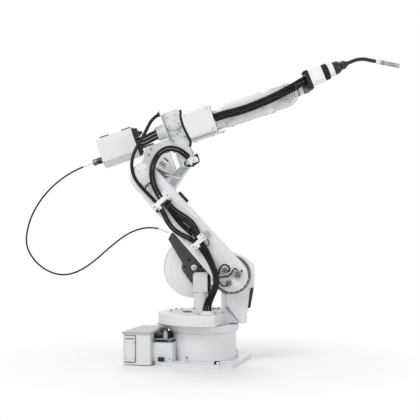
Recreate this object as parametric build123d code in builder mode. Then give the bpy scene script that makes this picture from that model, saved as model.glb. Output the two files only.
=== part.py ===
from build123d import *
import os
from math import asin, cos, degrees, radians, sin, tan

os.makedirs("parts", exist_ok=True)

# A six-axis arc-welding robot arm on its floor plate, in millimetres and degrees.
# Z is axis 1, the origin is on the floor below it, and the arm is shown turned by arm_yaw.

# The arm's axes at rest
arm_yaw = 15.5
shoulder_forward = 132
shoulder_height = 419
lower_arm_length = 619
lower_arm_lean = 41.7
upper_arm_tilt = 19
forearm_rise = 150
wrist_reach = 766
torch_lift = 3

# Clearances: seats touch but for seat_gap, and moving pieces keep running_gap
seat_gap = 0.3
running_gap = 5
overrun = 2
arc_share = 0.45

# Base
plate_length = 380
plate_width = 480
plate_thickness = 20
plate_corner = 60
anchor_margin_x = 40
anchor_margin_y = 60
anchor_hole = 18
drum_radius = 156
drum_height = 127
flange_radius = 168
flange_height = 37
cable_box_length = 132
cable_box_width = 285
cable_box_height = 144
cable_box_near = 225
cable_box_clearance = 4
lid_thickness = 10
lid_overhang = 6
panel_depth = 4
panel_margin = 6
connector_box_width = 250
connector_box_height = 106
connector_box_front = 100
connector_box_near = 190
socket_length = 28
socket_height = 18
socket_depth = 14
socket_above_floor = 22
socket_inset = 46
stop_block_length = 30
stop_block_width = 50
stop_block_height = 22
stop_post_diameter = 19
stop_post_height = 44
stop_near = 30
stop_post_gap = 1
stop_post_room = 44

# Turntable and what stands on it
turntable_radius = 217
turntable_front = 205
turntable_thickness = 50
turntable_edge = 6
spigot_radius = 130
foot_cut_left = 35
foot_cut_right = 100
ear_inner_depth = 5
ear_depth = 45
ear_face_depth = 62
ear_size = 111
gearbox_radius = 89
motor1_radius = 31.5
motor1_height = 96
motor1_back = 16
motor1_head_width = 67
motor1_head_height = 85
motor_pocket_length = 46
motor_pocket_depth = 12
shoulder_motor_radius = 47
shoulder_motor_flange = 116
shoulder_motor_flange_thickness = 12
shoulder_motor_length = 92
spool_radius = 150
spool_width = 92
spool_rim = 5
spool_hub_radius = 14
spool_back = 48
spool_height = 443
spool_bracket_depth = 104
spool_bracket_thickness = 8
spool_gap = 6
stay_width = 60
stay_foot = 46
gland_length = 66
gland_width = 60
gland_height = 10
gland_collar_radius = 27
gland_collar_height = 7
gland_forward = 16
gland_near = 152

# Lower arm
lower_arm_depth = 65
lower_arm_thickness = 70
lower_hub_radius = 76
upper_lobe_radius = 65.5
lower_arm_bevel = 12
hub_boss_radius = 68
hub_boss_inset = 10
hub_boss_height = 8
elbow_cap_radius = 46
connector_height = 15
elbow_gearbox_radius = 60
clamp_length = 92
lower_clamp_length = 80
clamp_width = 21
clamp_bar_thickness = 12
clamp_opening = 17
clamp_strap_thickness = 9
clamp_post = 10
clamp_offset = 14
lower_clamp_offset = 9
upper_clamp_back = 139
lower_clamp_along = 222
clamp_plate_length = 26
clamp_plate_width = 26
clamp_plate_thickness = 10
bumper_length = 62
bumper_thickness = 14
bumper_width = 25
bumper_back = 194

# Elbow casting and what it carries
casting_depth = 55
casting_size = 200
lobe_radius = 62
web_depth = 20
elbow_motor_length = 62
elbow_motor_width = 50
elbow_motor_corner = 10
elbow_motor_turn = 34
elbow_motor_back = 130
elbow_motor_front = 50
elbow_motor_flange_length = 98
elbow_motor_flange_width = 150
elbow_motor_flange_thickness = 10
elbow_motor_forward = 103
elbow_motor_rise = 25
casting_top = 135
duct_back = 176
duct_front = 254
duct_bottom = -5
duct_top = 133
duct_depth = 60
duct_corner = 24
port_along = 228
port_rise = 18
port_depth = 74
port_turn = -64
port_length = 14
port_block_length = 34
port_block_width = 36
port_block_depth = 27
bulkhead_along = 165
bulkhead_thickness = 4
bulkhead_top = 279
bulkhead_near = 92
bulkhead_far = 45
sleeve_radius = 36
sleeve_wall = 4
sleeve_length = 43
sleeve_rise = 177
sleeve_depth = 12
hood_front = 256
hood_top = 255
hood_far = 50
hood_near = 48
hood_boss_radius = 43
hood_boss_height = 13
hood_boss_forward = 213
hood_boss_rise = 210
housing_flange_thickness = 12
housing_length = 130
housing_top = 224
housing_bottom = 97
housing_near = 105
housing_far = 60
housing_corner = 12
housing_front_flange = 8
rail_length = 168
rail_width = 70
rail_height = 12
rail_drop = 5

# Wire feeder on the back of the casting
feeder_back = -164
feeder_front = 12
feeder_bottom = 103
feeder_top = 246
feeder_near = 58
feeder_far = 95
feeder_bevel = 29
feeder_plate_thickness = 12
feeder_plate_bevel = 17
feeder_foot_length = 78
feeder_foot_width = 64
feeder_foot_thickness = 8
handle_length = 46
handle_width = 60
handle_height = 6
handle_places = (-122, -13)
inlet_rise = 147
inlet_radius = 15
inlet_neck_radius = 12
inlet_tip_radius = 6
inlet_collar = 12
inlet_length = 52
feeder_lead_diameter = 15
feeder_lead_spacing = 16

# Forearm, wrist and torch
forearm_root_radius = 50
forearm_root_length = 52
forearm_neck_radius = 42
forearm_width = 96
forearm_height = 106
forearm_corner = 22
forearm_beam_back = 66
cheek_radius = 54
cheek_inner = 32
cheek_outer = 50
band_back = 111
band_length = 25
band_thickness = 3
wrist_cover_radius = 50
wrist_cover_step = 34
wrist_cover_height = 5
wrist_barrel_radius = 46
snout_radius = 25
snout_length = 96
output_flange_radius = 27
output_flange_thickness = 13
tool_plate_thickness = 19
tool_plate_height = 95
tool_plate_drop = 5
tool_plate_width = 132
torch_rise = 31
torch_depth = 55
torch_body_width = 82
torch_body_corner = 22
torch_body_length = 65
bellows_radius = 39.5
bellows_length = 29
bellows_ribs = 4
bellows_rib_share = 0.7
bellows_groove = 4
torch_ring_radius = 35
torch_ring_length = 26
torch_cap_radius = 30.5
torch_cap_middle_radius = 27.5
torch_cap_tip_radius = 19
torch_cap_length = 40
torch_nut_radius = 20
torch_nut_length = 22
neck_radius = 9
neck_straight = 73
neck_bend = 33.5
neck_reach = 76
neck_bend_radius = 110
nozzle_radius = 11
nozzle_bore = 8
nozzle_length = 114
nozzle_bore_depth = 30

# Hoses, leads and the wire conduit
hose_diameter = 13
hose_spacing = 14.5
rear_hose_diameter = 16
rear_hose_rise = 258
rear_hose_depth = 72
rear_hose_inset = 2.5
rear_hose_offset = 21
front_hose_offset = 6
arm_hose_diameter = 11
arm_hose_spacing = 12
torch_lead_diameter = 19
lead_split_back = 126
torch_lead_spacing = 20.5
conduit_diameter = 8

up = Vector(0, 0, 1)
forward = Vector(cos(radians(arm_yaw)), sin(radians(arm_yaw)), 0)
near = Vector(sin(radians(arm_yaw)), -cos(radians(arm_yaw)), 0)


class Link:
    """A member of the arm: x runs along it, y rises from it and depth grows towards its right side."""

    def __init__(self, foot, tilt):
        self.foot = foot
        self.along = forward * cos(radians(tilt)) + up * sin(radians(tilt))
        self.rise = up * cos(radians(tilt)) - forward * sin(radians(tilt))

    def point(self, x=0, y=0, depth=0):
        return self.foot + self.along * x + self.rise * y + near * depth

    def local(self, place):
        """The x, y and depth of a place, as this member has them."""
        way = place - self.foot
        return way.dot(self.along), way.dot(self.rise), way.dot(near)

    def side(self, depth=0, x=0, y=0, turn=0):
        """A plane seen from the arm's right side, with x along the member, or turned up from it."""
        x_dir = self.along * cos(radians(turn)) + self.rise * sin(radians(turn))
        return Plane(self.point(x, y, depth), x_dir=x_dir, z_dir=near)

    def across(self, x=0, y=0, depth=0):
        """A plane that cuts the member, with its x to the far side and its y up."""
        return Plane(self.point(x, y, depth), x_dir=near * -1, z_dir=self.along)

    def over(self, y=0, x=0, depth=0):
        """A plane that lies on the member, with its x along it and its y to the far side."""
        return Plane(self.point(x, y, depth), x_dir=self.along, z_dir=self.rise)


shoulder_tilt = 90 + lower_arm_lean
column = Link(Vector(0, 0, 0), 0)
lower = Link(column.point(shoulder_forward, shoulder_height), shoulder_tilt)
upper = Link(lower.point(lower_arm_length), upper_arm_tilt)
tool = Link(upper.point(wrist_reach, forearm_rise), upper_arm_tilt + torch_lift)


def scaled(shares, size):
    return [tuple(share * size for share in point) for point in shares]


def beside(points, shift):
    """The points of a route moved sideways in the arm's plane, so that like hoses lie side by side."""
    moved = []
    for i, point in enumerate(points):
        before, after = points[max(i - 1, 0)], points[min(i + 1, len(points) - 1)]
        run_x, run_y = after[0] - before[0], after[1] - before[1]
        length = (run_x**2 + run_y**2) ** 0.5
        moved.append((point[0] - run_y * shift / length, point[1] + run_x * shift / length, point[2]))
    return moved


def twisted(points, shift, turns):
    """Like beside, but the set of hoses is turned edge-on by so many degrees at each point."""
    shifted = beside(points, shift)
    return [
        (x + (a - x) * cos(radians(turn)), y + (b - y) * cos(radians(turn)), depth + shift * sin(radians(turn)))
        for (x, y, depth), (a, b, _), turn in zip(points, shifted, turns)
    ]


def hose(link, points, diameter):
    """A round tube along a route of (x, y, depth) points on a member, with arcs as large as its runs allow."""
    path = [link.point(*point) for point in points]
    runs = [b - a for a, b in zip(path, path[1:])]
    radii = []
    for run, following in zip(runs, runs[1:]):
        half_turn = radians(run.get_angle(following)) / 2
        radii.append(arc_share * min(run.length, following.length) / tan(half_turn))
    with BuildPart() as tube:
        with BuildLine():
            if len(path) > 2:
                FilletPolyline(*path, radius=radii)
            else:
                Line(*path)
        with BuildSketch(Plane(path[0], z_dir=runs[0])):
            Circle(diameter / 2)
        sweep()
    return tube.part


# Base plate, bolted to the floor
with BuildPart() as base_plate:
    with BuildSketch():
        Rectangle(plate_length, plate_width)
        chamfer(vertices(), plate_corner)
        with GridLocations(plate_length - anchor_margin_x * 2, plate_width - anchor_margin_y * 2, 2, 2):
            Circle(anchor_hole / 2, mode=Mode.SUBTRACT)
    extrude(amount=plate_thickness)
base_plate.part.label = "base_plate"
export_step(base_plate.part, "parts/base_plate.step")

# Drum with the axis 1 gearing inside
drum_top = plate_thickness + drum_height
with BuildPart() as base_drum:
    with BuildSketch(Plane.XY.offset(plate_thickness)):
        Circle(drum_radius)
    extrude(amount=drum_height)
base_drum.part.label = "base_drum"
export_step(base_drum.part, "parts/base_drum.step")

# Bearing flange on the drum
flange_top = drum_top + flange_height
with BuildPart() as drum_flange:
    with BuildSketch(Plane.XY.offset(drum_top)):
        Circle(flange_radius)
    extrude(amount=flange_height)
    chamfer(drum_flange.faces().sort_by(Axis.Z)[0].edges(), flange_radius - drum_radius - overrun)
drum_flange.part.label = "drum_flange"
export_step(drum_flange.part, "parts/drum_flange.step")

# Cable box behind the drum, with louvred panels let into its long sides
connector_box_back = (drum_radius**2 - stop_near**2) ** 0.5 + stop_post_room
cable_box_back = connector_box_back + cable_box_length
cable_box_middle = cable_box_near - cable_box_width / 2
cable_box_plane = Plane.XY.offset(cable_box_clearance)
with BuildPart() as cable_box:
    with BuildSketch(cable_box_plane):
        with Locations((cable_box_length / 2 - cable_box_back, -cable_box_middle)):
            Rectangle(cable_box_length, cable_box_width)
    extrude(amount=cable_box_height)
    panel_plane = Plane(
        (cable_box_length / 2 - cable_box_back, -cable_box_near, cable_box_clearance),
        x_dir=(1, 0, 0), z_dir=(0, -1, 0),
    )
    with BuildSketch(panel_plane):
        with Locations((-cable_box_length / 4 + panel_margin / 2, cable_box_height / 2)):
            Rectangle(cable_box_length / 2 - panel_margin, cable_box_height - panel_margin * 2)
    extrude(amount=-panel_depth, mode=Mode.SUBTRACT)
cable_box.part.label = "cable_box"
export_step(cable_box.part, "parts/cable_box.step")

cable_box_top = cable_box_clearance + cable_box_height
with BuildPart() as cable_box_lid:
    with BuildSketch(Plane.XY.offset(cable_box_top)):
        with Locations((cable_box_length / 2 - cable_box_back, -cable_box_middle)):
            Rectangle(cable_box_length + lid_overhang * 2, cable_box_width + lid_overhang * 2)
    extrude(amount=lid_thickness)
    chamfer(cable_box_lid.faces().sort_by(Axis.Z)[-1].edges(), lid_overhang)
cable_box_lid.part.label = "cable_box_lid"
export_step(cable_box_lid.part, "parts/cable_box_lid.step")

# Connector box between the cable box and the drum
with BuildPart() as connector_box:
    with BuildSketch(Plane.XY.offset(plate_thickness + seat_gap)):
        with Locations((
            seat_gap - (connector_box_back + connector_box_front) / 2,
            connector_box_width / 2 - connector_box_near,
        )):
            Rectangle(connector_box_back - connector_box_front - seat_gap * 2, connector_box_width)
        Circle(drum_radius + seat_gap, mode=Mode.SUBTRACT)
    extrude(amount=connector_box_height - plate_thickness)
connector_box.part.label = "connector_box"
export_step(connector_box.part, "parts/connector_box.step")

# Supply socket on the connector box
socket_plane = Plane(
    (socket_inset - connector_box_back, -connector_box_near - seat_gap, socket_above_floor + socket_height / 2),
    x_dir=(1, 0, 0), z_dir=(0, -1, 0),
)
with BuildPart() as base_socket:
    with BuildSketch(socket_plane):
        Rectangle(socket_length, socket_height)
    extrude(amount=socket_depth)
    fillet(base_socket.edges().filter_by(Axis.Y), socket_height / 6)
base_socket.part.label = "base_socket"
export_step(base_socket.part, "parts/base_socket.step")

# Axis 1 stop: a block on the flange and the bolt below it
stop_block_back = flange_radius + stop_block_length
with BuildPart() as stop_block:
    with BuildSketch(Plane.XY.offset(flange_top - stop_block_height)):
        with Locations((stop_block_length / 2 - stop_block_back, -stop_near)):
            Rectangle(stop_block_length + flange_height, stop_block_width)
        Circle(flange_radius + seat_gap, mode=Mode.SUBTRACT)
    extrude(amount=stop_block_height)
    with BuildSketch(Plane.XY.offset(flange_top - stop_block_height)):
        with Locations((-flange_radius - stop_post_diameter / 2 - stop_post_gap, -stop_near)):
            Circle(stop_post_diameter / 2)
    extrude(amount=-stop_post_height)
stop_block.part.label = "stop_block"
export_step(stop_block.part, "parts/stop_block.step")

# Turntable: a round casting, cut back beside the ear, with its bearing spigot below
turntable_bottom = flange_top + running_gap
turntable_top = turntable_bottom + turntable_thickness
turntable_plane = column.over(turntable_bottom)
with BuildPart() as turntable:
    with BuildSketch(turntable_plane):
        Circle(turntable_radius)
        with BuildLine():
            Polyline(
                (foot_cut_left, -turntable_radius - ear_depth),
                (foot_cut_right, seat_gap - ear_depth),
                (turntable_radius + ear_depth, seat_gap - ear_depth),
                (turntable_radius + ear_depth, -turntable_radius - ear_depth),
                close=True,
            )
        make_face(mode=Mode.SUBTRACT)
        with Locations((turntable_front + turntable_radius, 0)):
            Rectangle(turntable_radius * 2, turntable_radius * 3, mode=Mode.SUBTRACT)
    extrude(amount=turntable_thickness)
    fillet(turntable.faces().sort_by(Axis.Z)[-1].edges().filter_by(GeomType.CIRCLE), turntable_edge)
    with BuildSketch(turntable_plane):
        Circle(spigot_radius)
        with BuildLine():
            Polyline(
                (foot_cut_left, -turntable_radius - ear_depth),
                (foot_cut_right, seat_gap - ear_depth),
                (turntable_radius + ear_depth, seat_gap - ear_depth),
                (turntable_radius + ear_depth, -turntable_radius - ear_depth),
                close=True,
            )
        make_face(mode=Mode.SUBTRACT)
    extrude(amount=-(running_gap - seat_gap))
    with BuildSketch(column.over(turntable_top)):
        with Locations((-motor1_back - motor1_radius - motor_pocket_length / 2 - seat_gap, 0)):
            Rectangle(motor_pocket_length, motor1_radius)
    extrude(amount=-motor_pocket_depth, mode=Mode.SUBTRACT)
turntable.part.label = "turntable"
export_step(turntable.part, "parts/turntable.step")

# Ear: the cast wall that carries the shoulder, with a thinner face round the gearbox
ear_web_shares = (
    (-0.9, 0.3), (-0.55, 0.83), (-0.06, 1), (0.59, 0.74), (0.97, 0.42), (0.99, 0.04), (0.95, -0.49),
    (0.75, -1.43),
)
ear_face_shares = (
    (-0.92, 0.36), (-0.55, 0.83), (-0.06, 1), (0.59, 0.74), (0.97, 0.42), (0.99, 0.04), (0.95, -0.49),
    (0.75, -1.43), (0.62, -1.77), (0.62, -2.0), (0.33, -2.0), (-0.21, -1.27), (-0.17, -0.7), (-0.88, -0.42),
)
ear_foot = shoulder_height - turntable_top
ear_web_points = scaled(ear_web_shares, ear_size) + [
    (ear_size * 0.68, seat_gap - ear_foot), (-ear_size * 0.44, seat_gap - ear_foot),
    (-ear_size * 0.44, -ear_size * 0.72), (-ear_size * 0.88, -ear_size * 0.42),
]
shoulder = Link(column.point(shoulder_forward, shoulder_height), 0)
with BuildPart() as shoulder_ear:
    with BuildSketch(shoulder.side(ear_inner_depth)):
        with BuildLine():
            Polyline(*ear_web_points, close=True)
        make_face()
    extrude(amount=ear_depth - ear_inner_depth)
    with BuildSketch(shoulder.side(ear_depth)):
        with BuildLine():
            Polyline(*scaled(ear_face_shares, ear_size), close=True)
        make_face()
        Circle(gearbox_radius + seat_gap, mode=Mode.SUBTRACT)
    extrude(amount=ear_face_depth - ear_depth)
    with BuildSketch(shoulder.side(ear_inner_depth)):
        with BuildLine():
            Polyline(
                (ear_size * 0.1, seat_gap - ear_foot), (ear_size * 0.6, seat_gap - ear_foot),
                (ear_size * 0.6, -ear_size * 0.6), (ear_size * 0.1, -ear_size * 0.6), close=True,
            )
        make_face()
    extrude(amount=-spool_bracket_depth / 2)
shoulder_ear.part.label = "shoulder_ear"
export_step(shoulder_ear.part, "parts/shoulder_ear.step")

# Shoulder gearbox ring between the ear and the lower arm
with BuildPart() as shoulder_gearbox:
    with BuildSketch(shoulder.side(ear_depth + seat_gap)):
        Circle(gearbox_radius)
    extrude(amount=lower_arm_depth - ear_depth - seat_gap * 2)
shoulder_gearbox.part.label = "shoulder_gearbox"
export_step(shoulder_gearbox.part, "parts/shoulder_gearbox.step")

# Shoulder motor on the far side of the ear
with BuildPart() as shoulder_motor:
    with BuildSketch(shoulder.side(ear_inner_depth - seat_gap)):
        RectangleRounded(shoulder_motor_flange, shoulder_motor_flange, shoulder_motor_flange_thickness)
    extrude(amount=-shoulder_motor_flange_thickness)
    with BuildSketch(shoulder.side(ear_inner_depth - seat_gap)):
        Circle(shoulder_motor_radius)
    extrude(amount=-shoulder_motor_length)
shoulder_motor.part.label = "shoulder_motor"
export_step(shoulder_motor.part, "parts/shoulder_motor.step")

# Axis 1 motor, standing on the turntable, with its square head
with BuildPart() as axis1_motor:
    with BuildSketch(column.over(turntable_top + seat_gap, -motor1_back)):
        Circle(motor1_radius)
    extrude(amount=motor1_height)
    with BuildSketch(column.over(turntable_top + motor1_height, -motor1_back)):
        Rectangle(motor1_head_width, motor1_head_width)
    extrude(amount=motor1_head_height)
axis1_motor.part.label = "axis1_motor"
export_step(axis1_motor.part, "parts/axis1_motor.step")

# Bracket that holds the wire spool, folded down to a foot on the turntable
spool_bracket_shares = (
    (-0.84, 0.92), (-0.73, 1.13), (-0.61, 1.11), (-0.46, 0.96), (0.2, 0.15), (0.39, -0.17), (0.39, -0.5),
    (-0.1, -0.5), (-0.36, -0.12), (-0.41, 0), (-0.37, 0.12),
)
spool = Link(column.point(-spool_back, spool_height), 0)
spool_foot = turntable_top + seat_gap - spool_height
with BuildPart() as spool_bracket:
    with BuildSketch(spool.side(-spool_bracket_depth)):
        with BuildLine():
            Polyline(*scaled(spool_bracket_shares, spool_radius), close=True)
        make_face()
        with Locations((stay_width / 2, spool_foot / 2)):
            Rectangle(stay_width, -spool_foot)
        Circle(spool_hub_radius + seat_gap, mode=Mode.SUBTRACT)
    extrude(amount=-spool_bracket_thickness)
    with BuildSketch(spool.over(spool_foot, stay_width / 2, -spool_bracket_depth + stay_foot / 2)):
        Rectangle(stay_width, stay_foot)
    extrude(amount=spool_bracket_thickness)
spool_bracket.part.label = "spool_bracket"
export_step(spool_bracket.part, "parts/spool_bracket.step")

# Wire spool in its round cover, turning on the hub
spool_face = spool_bracket_depth + spool_bracket_thickness + spool_gap
with BuildPart() as spool_cover:
    with BuildSketch(spool.side(-spool_face)):
        Circle(spool_radius)
        Circle(spool_hub_radius + seat_gap, mode=Mode.SUBTRACT)
    extrude(amount=-spool_width)
    chamfer(spool_cover.edges().filter_by(GeomType.CIRCLE).group_by(SortBy.RADIUS)[-1], spool_rim)
spool_cover.part.label = "spool_cover"
export_step(spool_cover.part, "parts/spool_cover.step")

with BuildPart() as spool_hub:
    with BuildSketch(spool.side(-spool_bracket_depth + spool_hub_radius)):
        Circle(spool_hub_radius)
    extrude(amount=-(spool_width + spool_gap + spool_bracket_thickness + spool_hub_radius * 2))
spool_hub.part.label = "spool_hub"
export_step(spool_hub.part, "parts/spool_hub.step")

# Gland where the arm's hoses go into the turntable
gland = column.over(turntable_top + seat_gap, gland_forward, gland_near)
with BuildPart() as hose_gland:
    with BuildSketch(gland):
        RectangleRounded(gland_length, gland_width, gland_width / 8)
    extrude(amount=gland_height)
    with BuildSketch(gland.offset(gland_height)):
        Circle(gland_collar_radius)
    extrude(amount=gland_collar_height, taper=10)
hose_gland.part.label = "hose_gland"
export_step(hose_gland.part, "parts/hose_gland.step")

# Lower arm: a tapered casting with a round hub on the shoulder and a lobe on the elbow
lower_face = lower_arm_depth + lower_arm_thickness
with BuildPart() as lower_arm:
    with BuildSketch(lower.side(lower_arm_depth)):
        Circle(lower_hub_radius)
        with Locations((lower_arm_length, 0)):
            Circle(upper_lobe_radius)
        make_hull()
    extrude(amount=lower_arm_thickness)
    chamfer(lower_arm.faces().sort_by(Axis((0, 0, 0), near))[-1].edges(), lower_arm_bevel)
    with BuildSketch(lower.side(lower_face)):
        Circle(hub_boss_radius - hub_boss_inset)
        with Locations((lower_arm_length, 0)):
            Circle(elbow_cap_radius)
    extrude(amount=hub_boss_height)
lower_arm.part.label = "lower_arm"
export_step(lower_arm.part, "parts/lower_arm.step")

# Three round connectors on the hub
hub_connector_shares = ((-0.5, 0.35, 0.27), (-0.24, -0.48, 0.28), (0.38, 0.1, 0.32))
with BuildPart() as hub_connectors:
    with BuildSketch(shoulder.side(lower_face + hub_boss_height + seat_gap)):
        for x, y, radius in hub_connector_shares:
            with Locations((x * hub_boss_radius, y * hub_boss_radius)):
                Circle(radius * hub_boss_radius)
    extrude(amount=connector_height)
hub_connectors.part.label = "hub_connectors"
export_step(hub_connectors.part, "parts/hub_connectors.step")

# Elbow gearbox between the lower arm and the casting
with BuildPart() as elbow_gearbox:
    with BuildSketch(upper.side(lower_arm_depth - seat_gap)):
        Circle(elbow_gearbox_radius)
    extrude(amount=-(lower_arm_depth - casting_depth - seat_gap * 2))
elbow_gearbox.part.label = "elbow_gearbox"
export_step(elbow_gearbox.part, "parts/elbow_gearbox.step")


def hose_clamp(along, offset, length):
    """A bar across the lower arm, with two posts and a strap over the hoses."""
    bar = lower.side(lower_face + seat_gap, along, offset)
    with BuildPart() as clamp:
        with BuildSketch(bar):
            Rectangle(clamp_width, length)
        extrude(amount=clamp_bar_thickness)
        with BuildSketch(bar.offset(clamp_bar_thickness)):
            with GridLocations(length, length - clamp_post, 1, 2):
                Rectangle(clamp_width, clamp_post)
        extrude(amount=clamp_opening)
        with BuildSketch(bar.offset(clamp_bar_thickness + clamp_opening)):
            Rectangle(clamp_width, length)
        extrude(amount=clamp_strap_thickness)
    return clamp.part


upper_clamp_along = lower_arm_length - upper_clamp_back
upper_clamp = hose_clamp(upper_clamp_along, clamp_offset, clamp_length)
upper_clamp.label = "upper_clamp"
export_step(upper_clamp, "parts/upper_clamp.step")

lower_clamp = hose_clamp(lower_clamp_along, lower_clamp_offset, lower_clamp_length)
lower_clamp.label = "lower_clamp"
export_step(lower_clamp, "parts/lower_clamp.step")

# Black bracket beside the lower clamp
with BuildPart() as clamp_bracket:
    with BuildSketch(
        lower.side(
            lower_face + seat_gap, lower_clamp_along,
            lower_clamp_offset - lower_clamp_length / 2 - clamp_plate_width / 2 - seat_gap,
        )
    ):
        RectangleRounded(clamp_plate_length, clamp_plate_width, clamp_plate_thickness / 2)
    extrude(amount=clamp_plate_thickness)
clamp_bracket.part.label = "clamp_bracket"
export_step(clamp_bracket.part, "parts/clamp_bracket.step")

# Rubber bumper on the front edge of the lower arm
bumper_along = lower_arm_length - bumper_back
lower_taper = (lower_hub_radius - upper_lobe_radius) / lower_arm_length
bumper_edge = lower_hub_radius - lower_taper * bumper_along
with BuildPart() as arm_bumper:
    with BuildSketch(
        lower.side(
            lower_face - lower_arm_bevel - bumper_width, bumper_along,
            -bumper_edge - bumper_thickness / 2 - seat_gap, degrees(asin(lower_taper)),
        )
    ):
        RectangleRounded(bumper_length, bumper_thickness, bumper_thickness / 3)
    extrude(amount=bumper_width)
arm_bumper.part.label = "arm_bumper"
export_step(arm_bumper.part, "parts/arm_bumper.step")

# Elbow casting: the lobe on axis 3, the thinner web and the window for the motor
casting_shares = (
    (-0.28, 0.1), (0.085, 0.415), (0.15, 0.5), (0.23, 0.675), (1.28, 0.675), (1.28, -0.025), (1.02, -0.18),
    (0.565, -0.525), (0.14, -0.27),
)
window_shares = (
    (0.27, -0.06), (0.27, 0.3), (0.4, 0.42), (0.87, 0.42), (0.87, -0.06), (0.72, -0.2), (0.44, -0.18),
)
with BuildPart() as elbow_casting:
    with BuildSketch(upper.side(-casting_depth)):
        with BuildLine():
            Polyline(*scaled(casting_shares, casting_size), close=True)
        make_face()
        with BuildLine():
            Polyline(*scaled(window_shares, casting_size), close=True)
        make_face(mode=Mode.SUBTRACT)
        Circle(lobe_radius)
    extrude(amount=casting_depth + web_depth)
    with BuildSketch(upper.side(web_depth)):
        Circle(lobe_radius)
    extrude(amount=casting_depth - web_depth)
elbow_casting.part.label = "elbow_casting"
export_step(elbow_casting.part, "parts/elbow_casting.step")

# Elbow motor, bolted behind the window and reaching through it
motor_plane = upper.side(-casting_depth - seat_gap, elbow_motor_forward, elbow_motor_rise)
motor_body_plane = upper.side(
    -casting_depth - seat_gap, elbow_motor_forward, elbow_motor_rise, elbow_motor_turn
)
with BuildPart() as elbow_motor:
    with BuildSketch(motor_plane):
        RectangleRounded(elbow_motor_flange_length, elbow_motor_flange_width, elbow_motor_corner)
    extrude(amount=-elbow_motor_flange_thickness)
    with BuildSketch(motor_body_plane):
        RectangleRounded(elbow_motor_width, elbow_motor_length, elbow_motor_corner)
    extrude(amount=casting_depth + elbow_motor_front)
    with BuildSketch(motor_body_plane):
        RectangleRounded(elbow_motor_length, elbow_motor_length, elbow_motor_corner)
    extrude(amount=casting_depth - elbow_motor_back)
elbow_motor.part.label = "elbow_motor"
export_step(elbow_motor.part, "parts/elbow_motor.step")

# Hose duct: the rounded cover in front of the web, with two hose ports at its foot
duct_length = duct_front - duct_back
duct_height = duct_top - duct_bottom
duct_middle = duct_back + duct_length / 2
with BuildPart() as hose_duct:
    with BuildSketch(upper.over(duct_bottom, duct_middle, web_depth + seat_gap)):
        with Locations((0, -(duct_depth - web_depth - seat_gap) / 2)):
            Rectangle(duct_length, duct_depth - web_depth - seat_gap)
    extrude(amount=duct_height)
    fillet(
        hose_duct.edges().filter_by(Axis((0, 0, 0), upper.rise)).group_by(Axis((0, 0, 0), near))[-1],
        duct_corner,
    )
hose_duct.part.label = "hose_duct"
export_step(hose_duct.part, "parts/hose_duct.step")

# Hose ports: a block on the duct with two sockets that point back along the hoses
hose_port = Link(upper.point(port_along, port_rise, port_depth), upper_arm_tilt + port_turn)
block_start = port_length + port_block_length / 2
with BuildPart() as hose_ports:
    with BuildSketch(hose_port.side(duct_depth + seat_gap - port_depth, block_start)):
        RectangleRounded(port_block_length, port_block_width, port_block_width / 6)
    extrude(amount=port_block_depth)
    with BuildSketch(hose_port.across(seat_gap * 4)):
        with GridLocations(hose_spacing, hose_spacing, 1, 2):
            Circle(hose_spacing / 2 - seat_gap)
    extrude(amount=block_start)
hose_ports.part.label = "hose_ports"
export_step(hose_ports.part, "parts/hose_ports.step")

# Bulkhead plate that holds the sleeve and the upper hose
with BuildPart() as bulkhead_plate:
    with BuildSketch(upper.across(bulkhead_along)):
        with Locations(
            ((bulkhead_far - bulkhead_near) / 2, (casting_top + seat_gap + bulkhead_top) / 2)
        ):
            RectangleRounded(
                bulkhead_far + bulkhead_near, bulkhead_top - casting_top - seat_gap, bulkhead_thickness
            )
    extrude(amount=bulkhead_thickness)
bulkhead_plate.part.label = "bulkhead_plate"
export_step(bulkhead_plate.part, "parts/bulkhead_plate.step")

# Sleeve that the feeder's leads run into
with BuildPart() as rear_sleeve:
    with BuildSketch(upper.across(bulkhead_along - seat_gap, sleeve_rise, sleeve_depth)):
        Circle(sleeve_radius)
        Circle(sleeve_radius - sleeve_wall, mode=Mode.SUBTRACT)
    extrude(amount=-sleeve_length)
rear_sleeve.part.label = "rear_sleeve"
export_step(rear_sleeve.part, "parts/rear_sleeve.step")

# Hood over the cable junction, with a round boss on its side
hood_back = bulkhead_along + bulkhead_thickness + seat_gap
with BuildPart() as cable_hood:
    with BuildSketch(upper.side(-hood_far)):
        with Locations(((hood_back + hood_front) / 2, (casting_top + seat_gap + hood_top) / 2)):
            RectangleRounded(
                hood_front - hood_back, hood_top - casting_top - seat_gap, duct_corner / 2
            )
    extrude(amount=hood_far + hood_near)
    with BuildSketch(upper.side(hood_near, hood_boss_forward, hood_boss_rise)):
        Circle(hood_boss_radius)
    extrude(amount=hood_boss_height)
cable_hood.part.label = "cable_hood"
export_step(cable_hood.part, "parts/cable_hood.step")

# Arm housing: the box round the axis 4 drive, flanged at both ends
housing_back = hood_front + seat_gap
housing_front = housing_back + housing_flange_thickness + housing_length
housing_width = housing_near + housing_far
housing_height = housing_top - housing_bottom
housing_centre = (housing_bottom + housing_top) / 2
housing_offset = (housing_near - housing_far) / 2
with BuildPart() as arm_housing:
    with BuildSketch(upper.across(housing_back, housing_centre, housing_offset)):
        RectangleRounded(housing_width, housing_height, housing_corner)
    extrude(amount=housing_front - housing_back - housing_front_flange)
    with BuildSketch(upper.across(housing_front - housing_front_flange, housing_centre, housing_offset)):
        RectangleRounded(
            housing_width + housing_corner / 3, housing_height + housing_corner / 3, housing_corner
        )
    extrude(amount=housing_front_flange)
arm_housing.part.label = "arm_housing"
export_step(arm_housing.part, "parts/arm_housing.step")

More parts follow.
